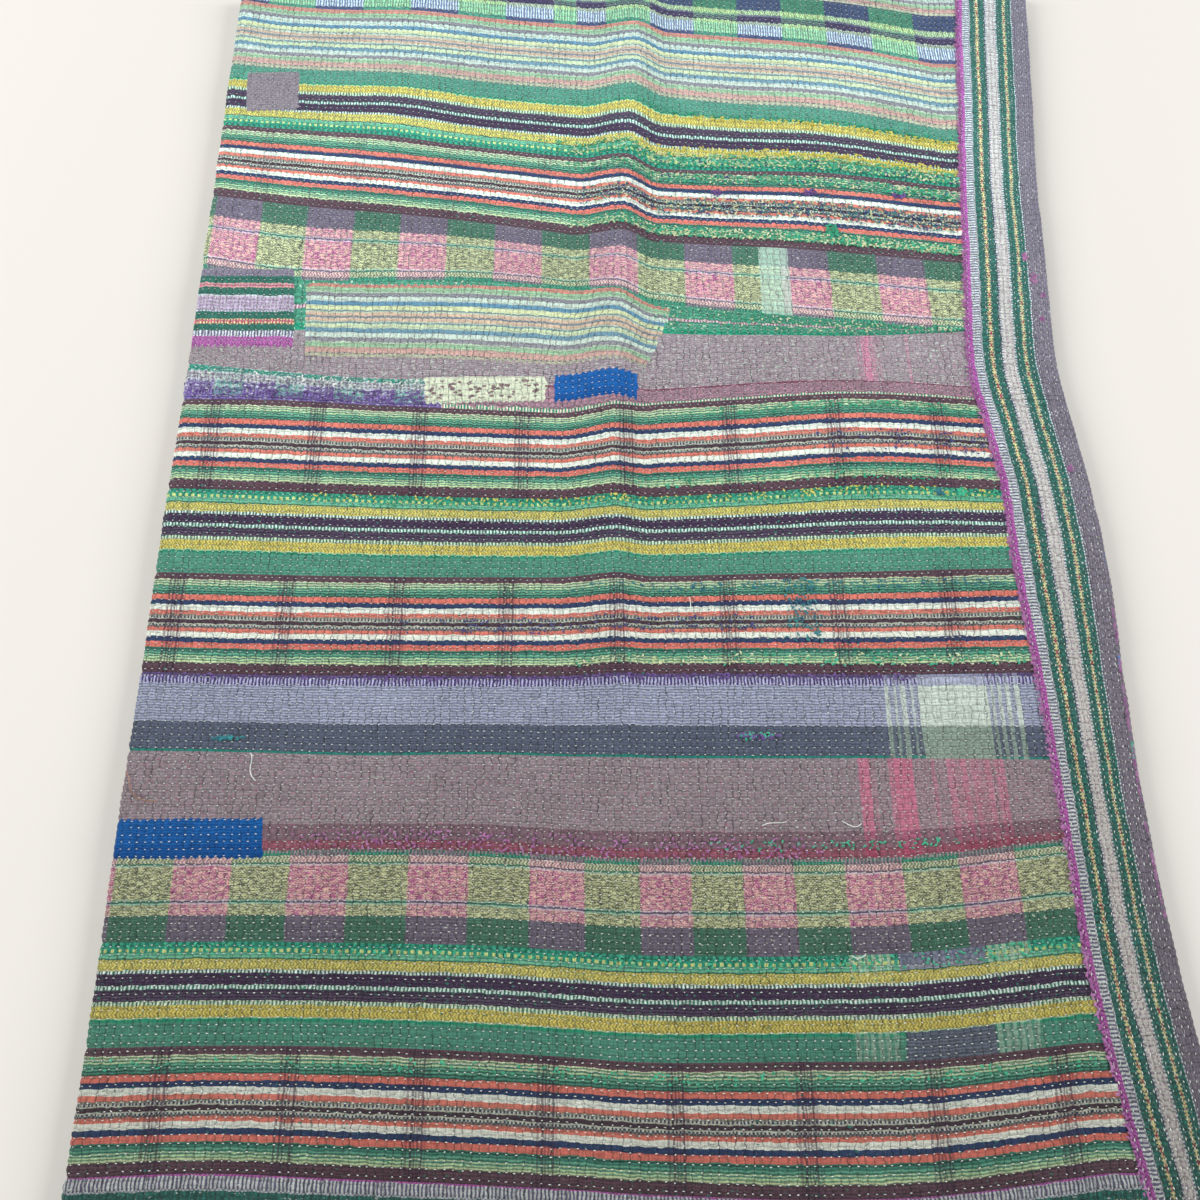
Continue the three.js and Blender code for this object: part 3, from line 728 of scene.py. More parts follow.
# Narrow pieces of other saris that fill the wedges between the crooked strips.
emerald_sari = [
    (9.0, "#4fa286", "#3a8a70", "lines"), (1.8, "#dccbd2", "#b46f8c", "dots"),
    (5.5, "#58a98d", "#3f9076", "lines"), (2.4, "#169a77", "#3bb592", "checks"),
]
lace_sari = [
    (5.5, "#239a82", "#68a8a0", "checks", "#4d8f88", "#3fa78f"),
    (9.0, "#c3c9cc", "#8a7b90", "rings", "#b7c9c6", "#8f8399"),
    (8.0, "#9185b5", "#cdcbe0", "checks", "#7fb3ae", "#c9d6d6"),
    (6.5, "#6f559f", "#9b86c4", "dots", "#63a49c", "#8f86bb"), (4.0, "#5b4590", "#8d7cba", "lines"),
]
rose_sari = [
    (1.6, "#7d3f55"), (10.0, "#a68391", "#937383", "lines"), (1.6, "#ece4cc", "#249a7e", "dots"),
]
lace_blocks = [(0, 0), (26, 1)]

border_cloth = [
    (6.0, "#a8419f", "#c873be", "chevron"), (7.0, "#746d8e", "#dfe6e4", "dots"),
    (0.9, "#c9cfd0", "#8d93a3", "dots"), (5.6, "#2a625b", "#2e8577", "beads"),
    (1.0, "#d9cf9c", "#2a625b", "dots"), (1.6, "#e6dba0", "#b0365a", "twist"),
    (1.0, "#d9cf9c", "#2a625b", "dots"), (5.8, "#2a625b", "#2e8577", "beads"), (0.9, "#454f60"),
    (1.3, "#d9dede", "#7d8394", "dots"), (9.8, "#d6d2cd", "#b9a0b2", "spots"),
    (1.5, "#d9dede", "#667184", "dots"), (6.0, "#2a625b", "#2e8577", "beads"),
    (1.0, "#cfd0a6", "#2a625b", "dots"), (1.6, "#e6dea0", "#ad3850", "twist"),
    (1.0, "#cfd0a6", "#2a625b", "dots"), (5.9, "#2a625b", "#2e8577", "beads"),
    (1.2, "#dfe3e4", "#8b90a0", "dots"), (0.9, "#565a6a"), (13.9, "#887f8f", "#746c7b", "lines"),
]

cottons = {
    "stripe": woven("worn_cotton_stripe", stripe_sari, dark_lines, repeat=88, wear=0.14,
                    flecks=[("#2f8c78", 0.68)]),
    "faint_stripe": woven("worn_cotton_faint_stripe", stripe_sari, faint_lines, repeat=88, wear=0.14,
                          flecks=[("#2f8c78", 0.66)]),
    "purple": woven("worn_cotton_purple_and_yellow", purple_sari, plaid_end, begin=1530, reach=140,
                    flecks=[("#22a07e", 0.67)]),
    "slate": woven("worn_cotton_slate_end", purple_slate),
    "block": woven("worn_cotton_blocks", block_sari, pink_blocks, repeat=84, pale=(1380, 13, "#bfdac9"),
                   flecks=[("#cdd2c2", 0.68)]),
    "fine": woven("worn_cotton_fine_stripe", fine_sari, fade=0.0),
    "night": woven("worn_cotton_night_blocks", night_sari, night_blocks, repeat=96, fade=0.0),
    "lavender": woven("worn_cotton_lavender", lavender_sari, pale_window, begin=570, reach=115),
    "mauve": woven("worn_cotton_mauve", mauve_sari, pink_lines, begin=545, reach=120,
                   flecks=[("#b9c4b8", 0.66), ("#b76f8c", 0.64)]),
    "pale_mauve": woven("worn_cotton_pale_mauve", pale_mauve, two_lines, begin=580, reach=50,
                        flecks=[("#c9d2c6", 0.60), ("#bf7f98", 0.65)]),
    "emerald": woven("worn_cotton_emerald", emerald_sari, flecks=[("#d8e2cf", 0.66)]),
    "lace": woven("worn_cotton_lace_edge", lace_sari, lace_blocks, repeat=52, flecks=[("#e4e6ea", 0.62)]),
    "rose": woven("worn_cotton_rose", rose_sari, flecks=[("#c48a9a", 0.60)]),
    "border": woven("worn_cotton_sari_border", border_cloth, flecks=[("#dfe4df", 0.68)]),
}
print(len(cottons), "cottons woven")

# %% [markdown]
# ## The quilted sheet
# Under the face lie layers of older cloth, all stitched into one sheet. It is
# modelled as one folded sheet: its middle surface goes out over the upper pair,
# round the crosswise fold and back, and a Solidify modifier gives it its
# thickness. Only its hems, its underside and the inside of the folds show.

# %% The folded sheet itself
underside = [
    (85.0, "#8c7e89", "#b88a9b", "lines"), (48.0, "#477d63", "#746678"),
    (30.0, "#8e9176", "#c7c89b", "brocade", "#b2668b", "#deb9a7"), (18.0, "#2f9877", "#d3dc82", "checks"),
    (14.0, "#ded973", "#9da155", "chevron"), (24.0, "#3e3048", "#6a5e6c", "lines"),
    (14.0, "#e3d765", "#9f9d44", "chevron"), (34.0, "#59977d"), (10.0, "#543f43"),
    (20.0, "#7db897", "#3f7e6b", "lines"), (8.0, "#f48370"), (8.0, "#324264"), (9.0, "#f3f7e6"),
    (8.0, "#e98674"), (12.0, "#534046"), (9.0, "#f3f7e6"), (8.0, "#324264"), (8.0, "#f48370"),
    (22.0, "#78af8f", "#43826d", "lines"), (12.0, "#543f43"), (62.0, "#9099b4", "#c3ccde", "lines"),
    (30.0, "#535b6d"),
]
cottons["underside"] = woven("worn_cotton_patchwork_underside", underside, pink_blocks, repeat=84, wear=0.3)
backing = [(300.0, "#4275ae", "#6b95c2", "lines"), (420.0, "#a4539d", "#8b7f9b", "lines"),
           (500.0, "#90cf9f", "#afdcb7", "lines"), (1100.0, "#8b7f9b", "#a89db3", "lines")]
cottons["backing"] = woven("worn_cotton_backing", backing)

SHEET_FACE = 0.7   # mm below the cloth's face, so that the pieced face covers it
FOLD_ARC = 28      # mm of cloth round the crosswise fold
REPEAT = 940       # mm of the underside's draft, which then runs back
ROW_PITCH = 5.3    # mm between lines of running stitches
STITCH_PITCH = 5.8   # mm from stitch to stitch
# Columns are close together under the crest, so that the sheet bends as the face does.
width_steps = np.array([0.0])
for end, count in ((0.44, 27), (0.60, 29), (1, 27), (2, 8), (3, 65)):
    width_steps = np.append(width_steps, np.linspace(width_steps[-1], end, count + 1)[1:])
upper_steps = np.linspace(0, TURN_Y, 96)
lower_steps = upper_steps[::-1]
turn_shares = np.linspace(0, 1, 10)[1:-1]


def sheet_row(upper, y, height):
    """A row across the upper or the lower pair, not nearer than the layers' ends."""
    outer, inner = (1, 2) if upper else (4, 3)
    end = np.where(width_steps > 1.5, end_y(inner, 400), end_y(outer, 400))
    return np.stack(pair_point(upper, width_steps, np.maximum(y, end), height), -1)


def sheet_points(height):
    """The sheet's grid at one height over its middle."""
    first = sheet_row(True, TURN_Y, height)
    last = sheet_row(False, TURN_Y, height)
    radius = (first[:, 2] - last[:, 2]) / 2
    turn = [np.stack([mix(first[:, 0], last[:, 0], ease(t)),
                      TURN_Y + radius * np.sin(np.pi * t),
                      (first[:, 2] + last[:, 2]) / 2 + radius * np.cos(np.pi * t)], -1)
            for t in turn_shares]
    upper = [sheet_row(True, y, height) for y in upper_steps]
    return np.array(upper + turn + [sheet_row(False, y, height) for y in lower_steps])


points = sheet_points(-SHEET_FACE / 2)
along = np.concatenate([upper_steps, TURN_Y + turn_shares * FOLD_ARC, 2 * TURN_Y + FOLD_ARC - lower_steps])
across = np.interp(width_steps, [0, 1, 2, 3], [0, 770, 782, 1545])
flat_x, flat_y = np.meshgrid(across, np.minimum(along % REPEAT, REPEAT - along % REPEAT))
points = points[:, ::-1]
flat_x, flat_y = flat_x[:, ::-1], flat_y[:, ::-1]
quilt_sheet = cloth_grid("quilt_sheet", points, flat_x, flat_y, flat_x / STITCH_PITCH, flat_y / ROW_PITCH,
                         cottons["underside"])
quilt_sheet.data.materials.append(cottons["backing"])
thick = quilt_sheet.modifiers.new("layers", "SOLIDIFY")
thick.thickness = (CLOTH - SHEET_FACE) / 1000
thick.offset = 0
thick.material_offset = 1
thick.material_offset_rim = 1
bpy.ops.object.modifier_apply(modifier="layers")
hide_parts("kantha_quilt")
print("sheet:", len(quilt_sheet.data.polygons), "faces")

# %% [markdown]
# ## The pieced face
# Each strip of the face is its own piece with its own cloth. A seam is a line in
# a table: how far it is from the foot at ten places across. The quilter's rows
# follow the seams, 5.3 mm apart, with a stitch every 5.8 mm. The cloth puffs up
# between them. A subdivided plane with noise would look like crumpled paper, so
# the grid is laid by the stitches themselves: a column through every stitch and
# one between, and four rows from one line of stitches to the next.

# %% Seams across the face
seams = {
    "x":        [0, 90, 180, 270, 345, 371, 410, 490, 580, 690],
    "foot":     [76, 78, 74, 70, 66, 64, 62, 59, 61, 73],
    "stripe_4": [155, 156, 154.5, 151, 146, 143.8, 142.3, 142.5, 143, 152.7],
    "purple_3": [224, 224.2, 222.4, 220, 215, 213, 211.7, 210.7, 212.8, 222.8],
    "block_2":  [285, 285.3, 285.4, 283.7, 278.8, 277.4, 277, 276, 277.2, 288],
    "mauve_2":  [362.6, 360, 356.7, 357, 354.6, 353.6, 353, 352.3, 352, 350],
    "lavender": [425, 421, 419.7, 418.7, 417.9, 418, 418.8, 418.4, 417.3, 417.8],
    "stripe_3": [508, 504.7, 502.9, 501.7, 500.5, 500.7, 501, 503, 503.7, 505],
    "purple_2": [582.6, 579.5, 575.2, 571.5, 569.4, 569.6, 572, 576.3, 579.8, 575.2],
    "stripe_2": [668, 667, 660.2, 653.8, 650, 652, 659.5, 664.6, 666.3, 661],
    "wonky":    [703.6, 694.5, 686.5, 684, 675, 673, 675, 680, 679.6, 674],
    "mauve_1":  [738, 738, 737, 736, 734, 733, 732, 729.5, 725.5, 731],
    "emerald":  [806, 791, 788, 786, 778, 773, 766, 754, 741.5, 731.6],
    "block_1":  [887, 872, 860.5, 848.5, 837, 834, 830.8, 825.5, 817, 804],
    "stripe_1": [971, 961, 949.3, 938, 926.3, 922.2, 914, 910.8, 907, 889.6],
    "purple_1": [1047, 1036.5, 1031, 1020, 1011.2, 1009.4, 1004, 993.5, 983, 956.9],
    "fine_1":   [1129, 1115, 1113, 1099.5, 1091.5, 1090, 1086, 1080, 1066, 1039],
    "night":    [1165, 1165, 1163, 1155, 1146, 1143, 1138, 1130, 1122.5, 1102],
    "turn":     [1166] * 10,
}
PUFF = 1.4         # mm that the cloth puffs up between the stitches
SEAM_DIP = 0.3     # mm that a strip's edge goes down into the seam
BORDER_DIP = 0.35  # mm that a strip goes down under the side border


def seam_y(name, x):
    return read_at(seams, name, x, key="x")


def puff(line, stitch, x, y):
    """The quilted ripple: 0 at every stitch, 1 between."""
    full = 0.85 + 0.3 * wander(x, y, 60, 5)
    return full * (0.45 + 0.55 * np.abs(np.sin(np.pi * line))) * np.abs(np.sin(np.pi * stitch)) ** 0.8


def rumple(x, y):
    """The small unevenness of a washed quilt, in mm."""
    return 0.45 * wander(x, y * 1.6, 38, 11) + 0.25 * wander(x, y, 17, 12)


def drift(x, y):
    """Stitches are sewn by eye: they wander sideways by a few millimetres."""
    return 2.2 * wander(x * 0.3, y, 120, 21) + 0.7 * wander(x, y, 40, 22) + 0.6 * wander(x * 0.6, y, 13, 23)


def as_sewn(x, y):
    """Where a stitch meant for x lands. Near the fold and the border it lands true."""
    return x + drift(x, y) * ease((x + 8) / 40) * ease((730 - x) / 40)


def clear_of_border(x, y):
    """1 on the open face, 0 under the side border."""
    return 1 - ease((x - read_at(side_edge, "seam", y) + 1) / 4)


patch_zone = [  # left, right, near and far edge of what the patches cover, in mm
    (15, 73, 985, 1036), (-20, 92, 719, 804), (97, 410, 703, 782), (206, 315, 660, 689),
    (319, 393, 660, 689), (-20, 110, 281, 312),
]


def bare(x, y):
    """1 where the face shows, 0 well inside a patch, where it is pressed flat."""
    shows = np.ones_like(x)
    for left, right, near, far in patch_zone:
        across = ease((np.minimum(x - left, right - x) - 1) / 4)
        shows = shows * (1 - across * ease((np.minimum(y - near, far - y) - 1) / 4))
    return shows


stitch_places = []   # rows of (x, y, height) for the thread
LEFT, RIGHT = -8.7, 733.7   # where the strips begin and end, in mm


def face_strip(name, near, far, cotton, depth, turned, start, left=LEFT, right=RIGHT, stretch=1.0):
    """A strip of the face between two seams. depth: how wide its cloth is, in mm. stretch: how far
    the sari goes for each mm of the strip, or a list of (mm on the strip, mm on the sari)."""
    xs = np.arange(left, right + 0.1, STITCH_PITCH / 2)
    middle = np.mean(seam_y(far, xs) - seam_y(near, xs))
    lines = max(2, round(middle / ROW_PITCH))
    share = np.linspace(0, 1, 4 * lines + 1)
    x, v = np.meshgrid(xs, share)
    y = mix(seam_y(near, x), seam_y(far, x), v)
    puffed = puff(lines * v - 0.5, (x - left) / STITCH_PITCH, x, y)
    x_sewn = as_sewn(x, y)
    tucked = ease(np.minimum(v, 1 - v) * lines * 2)
    clear = clear_of_border(x_sewn, y)
    rise = (PUFF * puffed + rumple(x_sewn, y) * 0.5) * tucked * clear * bare(x_sewn, y)
    height = CLOTH / 2 + rise - SEAM_DIP * (1 - tucked) - BORDER_DIP * (1 - clear)
    flat_v = (v if turned else 1 - v) * depth
    along = np.interp(x_sewn, *zip(*stretch)) if isinstance(stretch, list) else x_sewn * stretch
    cloth_grid(name, on_face(x_sewn, y, height), along + start, flat_v,
                                  (x - left) / STITCH_PITCH, lines * v - 0.5, cottons[cotton])
    for line in range(lines):
        x = left + STITCH_PITCH * np.arange(0, len(xs) // 2 + 1)
        y = mix(seam_y(near, x), seam_y(far, x), (line + 0.5) / lines)
        sewn = as_sewn(x, y)
        keep = (sewn < read_at(side_edge, "seam", y) - 1) & (sewn > -6)
        stitch_places.append(np.stack([sewn, y, np.full_like(x, CLOTH / 2)], -1)[keep])


LACE_END = LEFT + 40 * STITCH_PITCH
NIGHT_END = LEFT + 60 * STITCH_PITCH
SLATE_START, SLATE_END = LEFT + 99 * STITCH_PITCH, LEFT + 110 * STITCH_PITCH
# Handwoven blocks are not all of one width: where each lands on the strip, and on the sari.
uneven_blocks = [(-20, 60), (46, 126), (130, 210), (217, 294), (305, 378), (385, 462), (460, 546), (534, 630),
                 (618, 714), (740, 836)]
strips = [
    # name, near seam, far seam, cotton, depth of cloth, turned end for end, start along the sari,
    # and for some: left and right end, stretch
    ("strip_stripe_4", "foot", "stripe_4", "stripe", 80, False, 41),
    ("strip_purple_3", "stripe_4", "purple_3", "purple", 69, False, 1000, LEFT, SLATE_START),
    ("strip_slate", "stripe_4", "purple_3", "slate", 69, False, 1000, SLATE_START, SLATE_END),
    ("strip_purple_3_end", "stripe_4", "purple_3", "purple", 69, False, 1000, SLATE_END, RIGHT),
    ("strip_block_2", "purple_3", "block_2", "block", 63.4, False, 0, LEFT, RIGHT, uneven_blocks),
    ("strip_mauve_2", "block_2", "mauve_2", "mauve", 73, False, 0),
    ("strip_lavender", "mauve_2", "lavender", "lavender", 62.4, False, 0),
    ("strip_stripe_3", "lavender", "stripe_3", "stripe", 80, False, 76),
    ("strip_purple_2", "stripe_3", "purple_2", "purple", 69, False, 0),
    ("strip_stripe_2", "purple_2", "stripe_2", "stripe", 80, False, 66),
    ("strip_lace", "stripe_2", "wonky", "lace", 33, False, 0, LEFT, LACE_END),
    ("strip_rose", "stripe_2", "wonky", "rose", 13.2, False, 0, LACE_END, RIGHT),
    ("strip_mauve_1", "wonky", "mauve_1", "pale_mauve", 52, False, 0),
    ("strip_emerald", "mauve_1", "emerald", "emerald", 18.7, False, 0),
    ("strip_block_1", "emerald", "block_1", "block", 63.4, True, 877, LEFT, RIGHT, 0.971),
    ("strip_stripe_1", "block_1", "stripe_1", "faint_stripe", 80, False, 50),
    ("strip_purple_1", "stripe_1", "purple_1", "purple", 69, True, 0),
    ("strip_fine_1", "purple_1", "fine_1", "fine", 79, False, 0),
    ("strip_night_a", "fine_1", "night", "night", 45, False, 67, LEFT, NIGHT_END),
    ("strip_night_b", "fine_1", "night", "night", 45, False, 75.8, NIGHT_END, RIGHT, 1.095),
    ("strip_fine_0", "night", "turn", "fine", 79, False, 0),
]
for strip in strips:
    face_strip(*strip)

# %% [markdown]
# ## Borders
# A strip of a sari's woven edge is sewn along the side hem and another along the
# foot. Each goes round its hem, so its grid runs from the seam across the face,
# over the rounded hem and a little way under. The stitches run along the strip.

# %% Side border and foot border
BORDER_LINES = 14    # lines of stitches along a border
BORDER_LIFT = 0.75   # mm that it lies over the face
border_width = sum(row[0] for row in border_cloth)


def border_height(line, stitch, x, y, tucked):
    puffed = PUFF * puff(line, stitch, x, y)
    return CLOTH / 2 + mix(0.05, BORDER_LIFT, tucked) + (puffed + 0.3 * rumple(x, y)) * tucked


share = np.concatenate([np.linspace(0, 1, 4 * BORDER_LINES + 1), 1 + np.linspace(0, 1, 6)[1:] * 0.07])
ys = np.arange(-2.0, TURN_Y + 24, STITCH_PITCH / 2)
v, y = np.meshgrid(share, ys)
seam = read_at(side_edge, "seam", y)
hem = read_at(side_edge, "hem", y)
x = mix(seam, hem, v)
wide = x + 0.5 * wander(x, y, 50, 31) * ease(v * 8) * ease((1.0 - v) * 8)
height = border_height(BORDER_LINES * v - 0.5, y / STITCH_PITCH, x, y, ease(v * 20))
points = on_face(wide, y, height)
at = (np.arange(BORDER_LINES) + 0.5) / BORDER_LINES
row_v, row_y = np.meshgrid(at, STITCH_PITCH * np.arange(1, int(TURN_Y / STITCH_PITCH)))
row_x = mix(read_at(side_edge, "seam", row_y), read_at(side_edge, "hem", row_y), row_v)
border_places = np.stack([row_x, row_y, 0 * row_x + CLOTH / 2 + BORDER_LIFT], -1).reshape(-1, 3)
side_border = cloth_grid("side_border_cloth", points, y, v * border_width, y / STITCH_PITCH,
                         BORDER_LINES * v - 0.5, cottons["border"])
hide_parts("side_border")

xs = np.arange(LEFT, 728, STITCH_PITCH / 2)
share = np.concatenate([-np.linspace(1, 0, 6)[:-1] * 0.06, np.linspace(0, 1, 4 * BORDER_LINES + 1)])
x, v = np.meshgrid(xs, share)
end = end_y(1, x)
y = mix(end, seam_y("foot", x), v)
clear = clear_of_border(x, y)
stitch = (x - LEFT) / STITCH_PITCH
height = border_height(BORDER_LINES * v - 0.5, stitch, x, y, ease((1 - v) * 20) * clear)
foot_border = cloth_grid("foot_border_cloth", on_face(x, y, height - 0.4 * (1 - clear)), x + 40,
                         mix(border_width, 5.2, v), stitch, BORDER_LINES * v - 0.5, cottons["border"])
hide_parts("foot_border")
print("border strip", round(border_width, 1), "mm wide")

# %% [markdown]
# ## Patches
# Holes were mended with scraps, laid on the face with their edges turned under
# and sewn down with the same running stitch. A patch is a small grid with its
# own rows of puckers, a little over the face, whose edges go down into it.

# %% Cloth of the patches
pink_centre = [
    (10.0, "#918799", "#857b90", "lines"), (7.6, "#2c7263"),
    (1.8, "#d6c3a4", "#e08aa4", "dots"), (1.4, "#cf7492", "#c2587c", "chevron"),
    (1.8, "#d6c3a4", "#e08aa4", "dots"), (8.0, "#2c7263"), (1.6, "#d7dde2"),
    (15.0, "#cfc3d3", "#ab8fb4", "rings"), (1.6, "#8e95a8", "#d7dde2", "dots"), (7.6, "#2c7263"),
    (1.8, "#ebe7ac", "#cc5a67", "dots"), (1.6, "#d0768f", "#bd5068", "chevron"),
    (1.8, "#ebe7ac", "#cc5a67", "dots"), (7.6, "#2c7263"), (6.0, "#6f648a", "#eff3f7", "dots"),
    (9.0, "#a84f9c", "#c476b8", "chevron"),
]
cottons["old_border"] = woven("worn_cotton_old_border", pink_centre)
blue_cloth = [(20.0, "#0858a6", "#1a6cba", "lines"), (20.0, "#06509c", "#1262b0", "lines")]
# depth=0.6 makes the painted shade in the creases, and the bump of the pillows, weaker on this cloth.
cottons["blue"] = woven("worn_cotton_blue", blue_cloth, fade=0.0, wear=0.05, depth=0.6)
cottons["mauve_scrap"] = woven("worn_cotton_mauve_scrap", [(60.0, "#9a8d95", "#877b85", "lines")])

# Printed cotton: brown spots of uneven size on cream, from Voronoi cells.
printed, tree = new_material("printed_cotton_spotted")
x, y = flat_place(tree, 0.002)
place = put(tree, "CombineXYZ", [x, y])
spots = put(tree, "TexVoronoi", {"Vector": vector(tree, "MULTIPLY", place, (1, 1.5, 1)),
                                 "Scale": 155.0, "Randomness": 0.8})
spots = put(tree, "MapRange", [spots, 0.34, 0.44, 1.0, 0.0])
middle = calc(tree, "ABSOLUTE", calc(tree, "SUBTRACT", y, 0.0145))
middle = put(tree, "MapRange", [middle, 0.0088, 0.0105, 1.0, 0.0])
spots = calc(tree, "MULTIPLY", spots, middle)
colour = tint(tree, spots, linear("#e6ead0"), linear("#8d7274"))
finish_cotton(tree, x, y, colour)
cottons["spotted"] = printed
print("patch cottons ready")

# %% The patches
PATCH_LIFT = 0.7   # mm that a patch lies over the face
PATCH_DIP = 0.4    # mm that its edges go down into the face


def patch(name, node, left, right, near, far, cotton, slot, depth=None, start=0.0):
    """left, right: x at the near and far end. near, far: y at two or more places from left to right."""
    steps = len(np.arange(min(left), max(right) + 0.1, STITCH_PITCH / 2)) // 2 * 2
    high = np.mean(far) - np.mean(near)
    lines = max(2, round(high / ROW_PITCH))
    u, v = np.meshgrid(np.linspace(0, 1, steps + 1), np.linspace(0, 1, 4 * lines + 1))
    x = mix(mix(left[0], left[1], v), mix(right[0], right[1], v), u)
    low = np.interp(u, np.linspace(0, 1, len(near)), near)
    top = np.interp(u, np.linspace(0, 1, len(far)), far)
    y = mix(low, top, v) + 0.5 * wander(x, v * 30, 22, 41)
    x = x + 0.6 * wander(u * 300, y, 16, 42) * (left[0] > 0)
    edge = np.minimum(v, 1 - v) * lines * 2
    # A patch that goes round the lengthwise fold is tucked under on its right side only.
    sides = np.minimum(u if left[0] > 0 else np.ones_like(u), 1 - u) * steps / 1.5
    tucked = ease(np.minimum(edge, sides))
    puffed = puff(lines * v - 0.5, u * steps / 2, x, y)
    rise = (PUFF * 0.8 * puffed + 0.4 * rumple(x, y)) * tucked
    height = CLOTH / 2 - PATCH_DIP + (PATCH_DIP + PATCH_LIFT) * tucked + rise
    piece = cloth_grid(name, on_face(x, y, height), x + start, (1 - v) * (depth or high),
                       u * steps / 2, lines * v - 0.5, cottons[cotton])
    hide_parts(node)
    for line in range(lines):
        at = (line + 0.5) / lines
        row_u = (np.arange(1, steps // 2) * 2) / steps
        row_x = mix(mix(left[0], left[1], at), mix(right[0], right[1], at), row_u)
        row_y = mix(np.interp(row_u, np.linspace(0, 1, len(near)), near),
                    np.interp(row_u, np.linspace(0, 1, len(far)), far), at)
        stitch_places.append(np.stack([row_x, row_y, np.full_like(row_x, CLOTH / 2 + PATCH_LIFT)], -1))
    return piece


patches = [patch(*row) for row in (
    # name, node, left, right, near, far, cotton, slot, and for some: depth of cloth, start along it
    ("mauve_patch", "patch_mauve", (20, 15), (73, 69), (985, 985), (1036, 1036), "mauve_scrap",
     "mauve_cotton"),
    ("old_border_patch", "patch_old_border", (-6, -6), (92, 85), (719, 719), (804, 803), "old_border",
     "border_cotton", 87),
    ("fine_stripe_patch", "patch_fine_stripe", (101, 94), (401, 427), (711, 706, 699, 695),
     (788, 785, 783, 782, 780, 772, 758), "fine", "striped_cotton", 79, 140),
    ("spotted_patch", "patch_spotted", (208, 206), (315, 315), (660, 660), (688, 688), "spotted",
     "spotted_cotton", 29),
    ("blue_middle_patch", "patch_blue_middle", (319, 319), (393, 393), (660, 660), (689, 689), "blue",
     "blue_cotton", 29),
    ("blue_side_patch", "patch_blue_side", (-6, -6), (111, 108), (281, 281), (312, 312), "blue",
     "blue_cotton", 31),
)]
print(len(patches), "patches")

# %% [markdown]
# ## Thread
# The quilting thread is thick white cotton. Each stitch is a short spindle that
# lies in its hollow: six corners and eight faces, shaded smooth, are enough for
# a thing of 3 mm, and tens of thousands of them are joined in a few meshes.
# They could be drawn in the material, but real ones catch the light.

# %% Stitches as joined meshes
def spindles(name, heads, tails, ups, widths, material):
    """One joined mesh of spindles from heads to tails (mm), with the given widths."""
    along = tails - heads
    side = np.cross(along, ups)
    side = side / np.linalg.norm(side, axis=-1, keepdims=True)
    middle = (heads + tails) / 2
    side = side * widths[:, None] / 2
    high = ups * widths[:, None] * 0.42
    corners = np.stack([heads, tails, middle + side, middle - side, middle + high, middle - high], axis=1)
    faces = np.array([(0, 4, 2), (0, 2, 5), (0, 5, 3), (0, 3, 4), (1, 2, 4), (1, 5, 2), (1, 3, 5), (1, 4, 3)])
    faces = (faces[None] + 6 * np.arange(len(heads))[:, None, None]).reshape(-1, 3)
    mesh = bpy.data.meshes.new(name)
    mesh.from_pydata(metres(corners.reshape(-1, 3)).tolist(), [], faces.tolist())
    mesh.materials.append(material)
    mesh.shade_smooth()
    piece = bpy.data.objects.new(name, mesh)
    bpy.context.collection.objects.link(piece)
    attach(piece, "root")
    return piece


def sewn_thread(name, colour, other):
    """Cotton sewing thread: matt, a little uneven in colour from stitch to stitch."""
    material, tree = new_material(name)
    place = put(tree, "TexCoord", out=3)
    patchy = noise(tree, place, 130.0, 2.0)
    patchy = put(tree, "MapRange", [patchy, 0.35, 0.65, 0.0, 1.0])
    tone = tint(tree, patchy, linear(colour), linear(other))
    fine = put(tree, "TexNoise", {"Vector": place, "Scale": 2600.0})
    bump = put(tree, "Bump", {"Strength": 0.4, "Distance": 0.0001, "Height": fine})
    cotton = put(tree, "BsdfPrincipled", {"Base Color": tone, "Normal": bump, "Roughness": 0.85,
                                          "Sheen Weight": 0.2, "Sheen Roughness": 0.5})
    put(tree, "OutputMaterial", [cotton])
    return material


threads = {name: sewn_thread("cotton_thread_" + name, colour, other) for name, colour, other in (
    ("white", "#f7fbf7", "#d5dfd8"), ("cream", "#f0f1cf", "#d3dba6"), ("yellow", "#efe36a", "#cfc44a"),
    ("emerald", "#13966e", "#3dc29a"), ("teal", "#12647d", "#2c9596"), ("navy", "#2b3a70", "#4f4c92"),
    ("violet", "#553a7c", "#7b5aa6"), ("magenta", "#96508f", "#b87fb1"), ("blue", "#1f6fae", "#4b94c9"),
    ("tan", "#8f6242", "#a97b58"))}
rng = np.random.default_rng(7)
STITCH_LIFT = 0.3   # mm that a stitch stands out of its hollow


def sew(name, places, length, width, thread, across=False, slant=0.15):
    """Stitches on the face. places: x, y and height in mm. across: along y instead of x."""
    count = len(places)
    half = length * rng.uniform(0.36, 0.62, count)
    turn = rng.normal(0, slant, count) + (math.pi / 2 if across else 0)
    step_x, step_y = half * np.cos(turn), half * np.sin(turn)
    x, y, height = places.T
    heads = on_face(x - step_x, y - step_y, height + 0.1)
    tails = on_face(x + step_x, y + step_y, height + 0.1)
    ups = on_face(x, y, height + 2) - on_face(x, y, height)
    ups = ups / np.linalg.norm(ups, axis=-1, keepdims=True)
    rise = STITCH_LIFT * ups
    widths = width * rng.uniform(0.8, 1.2, count)
    return spindles(name, heads + rise, tails + rise, ups, widths, threads[thread])


print("thread ready")

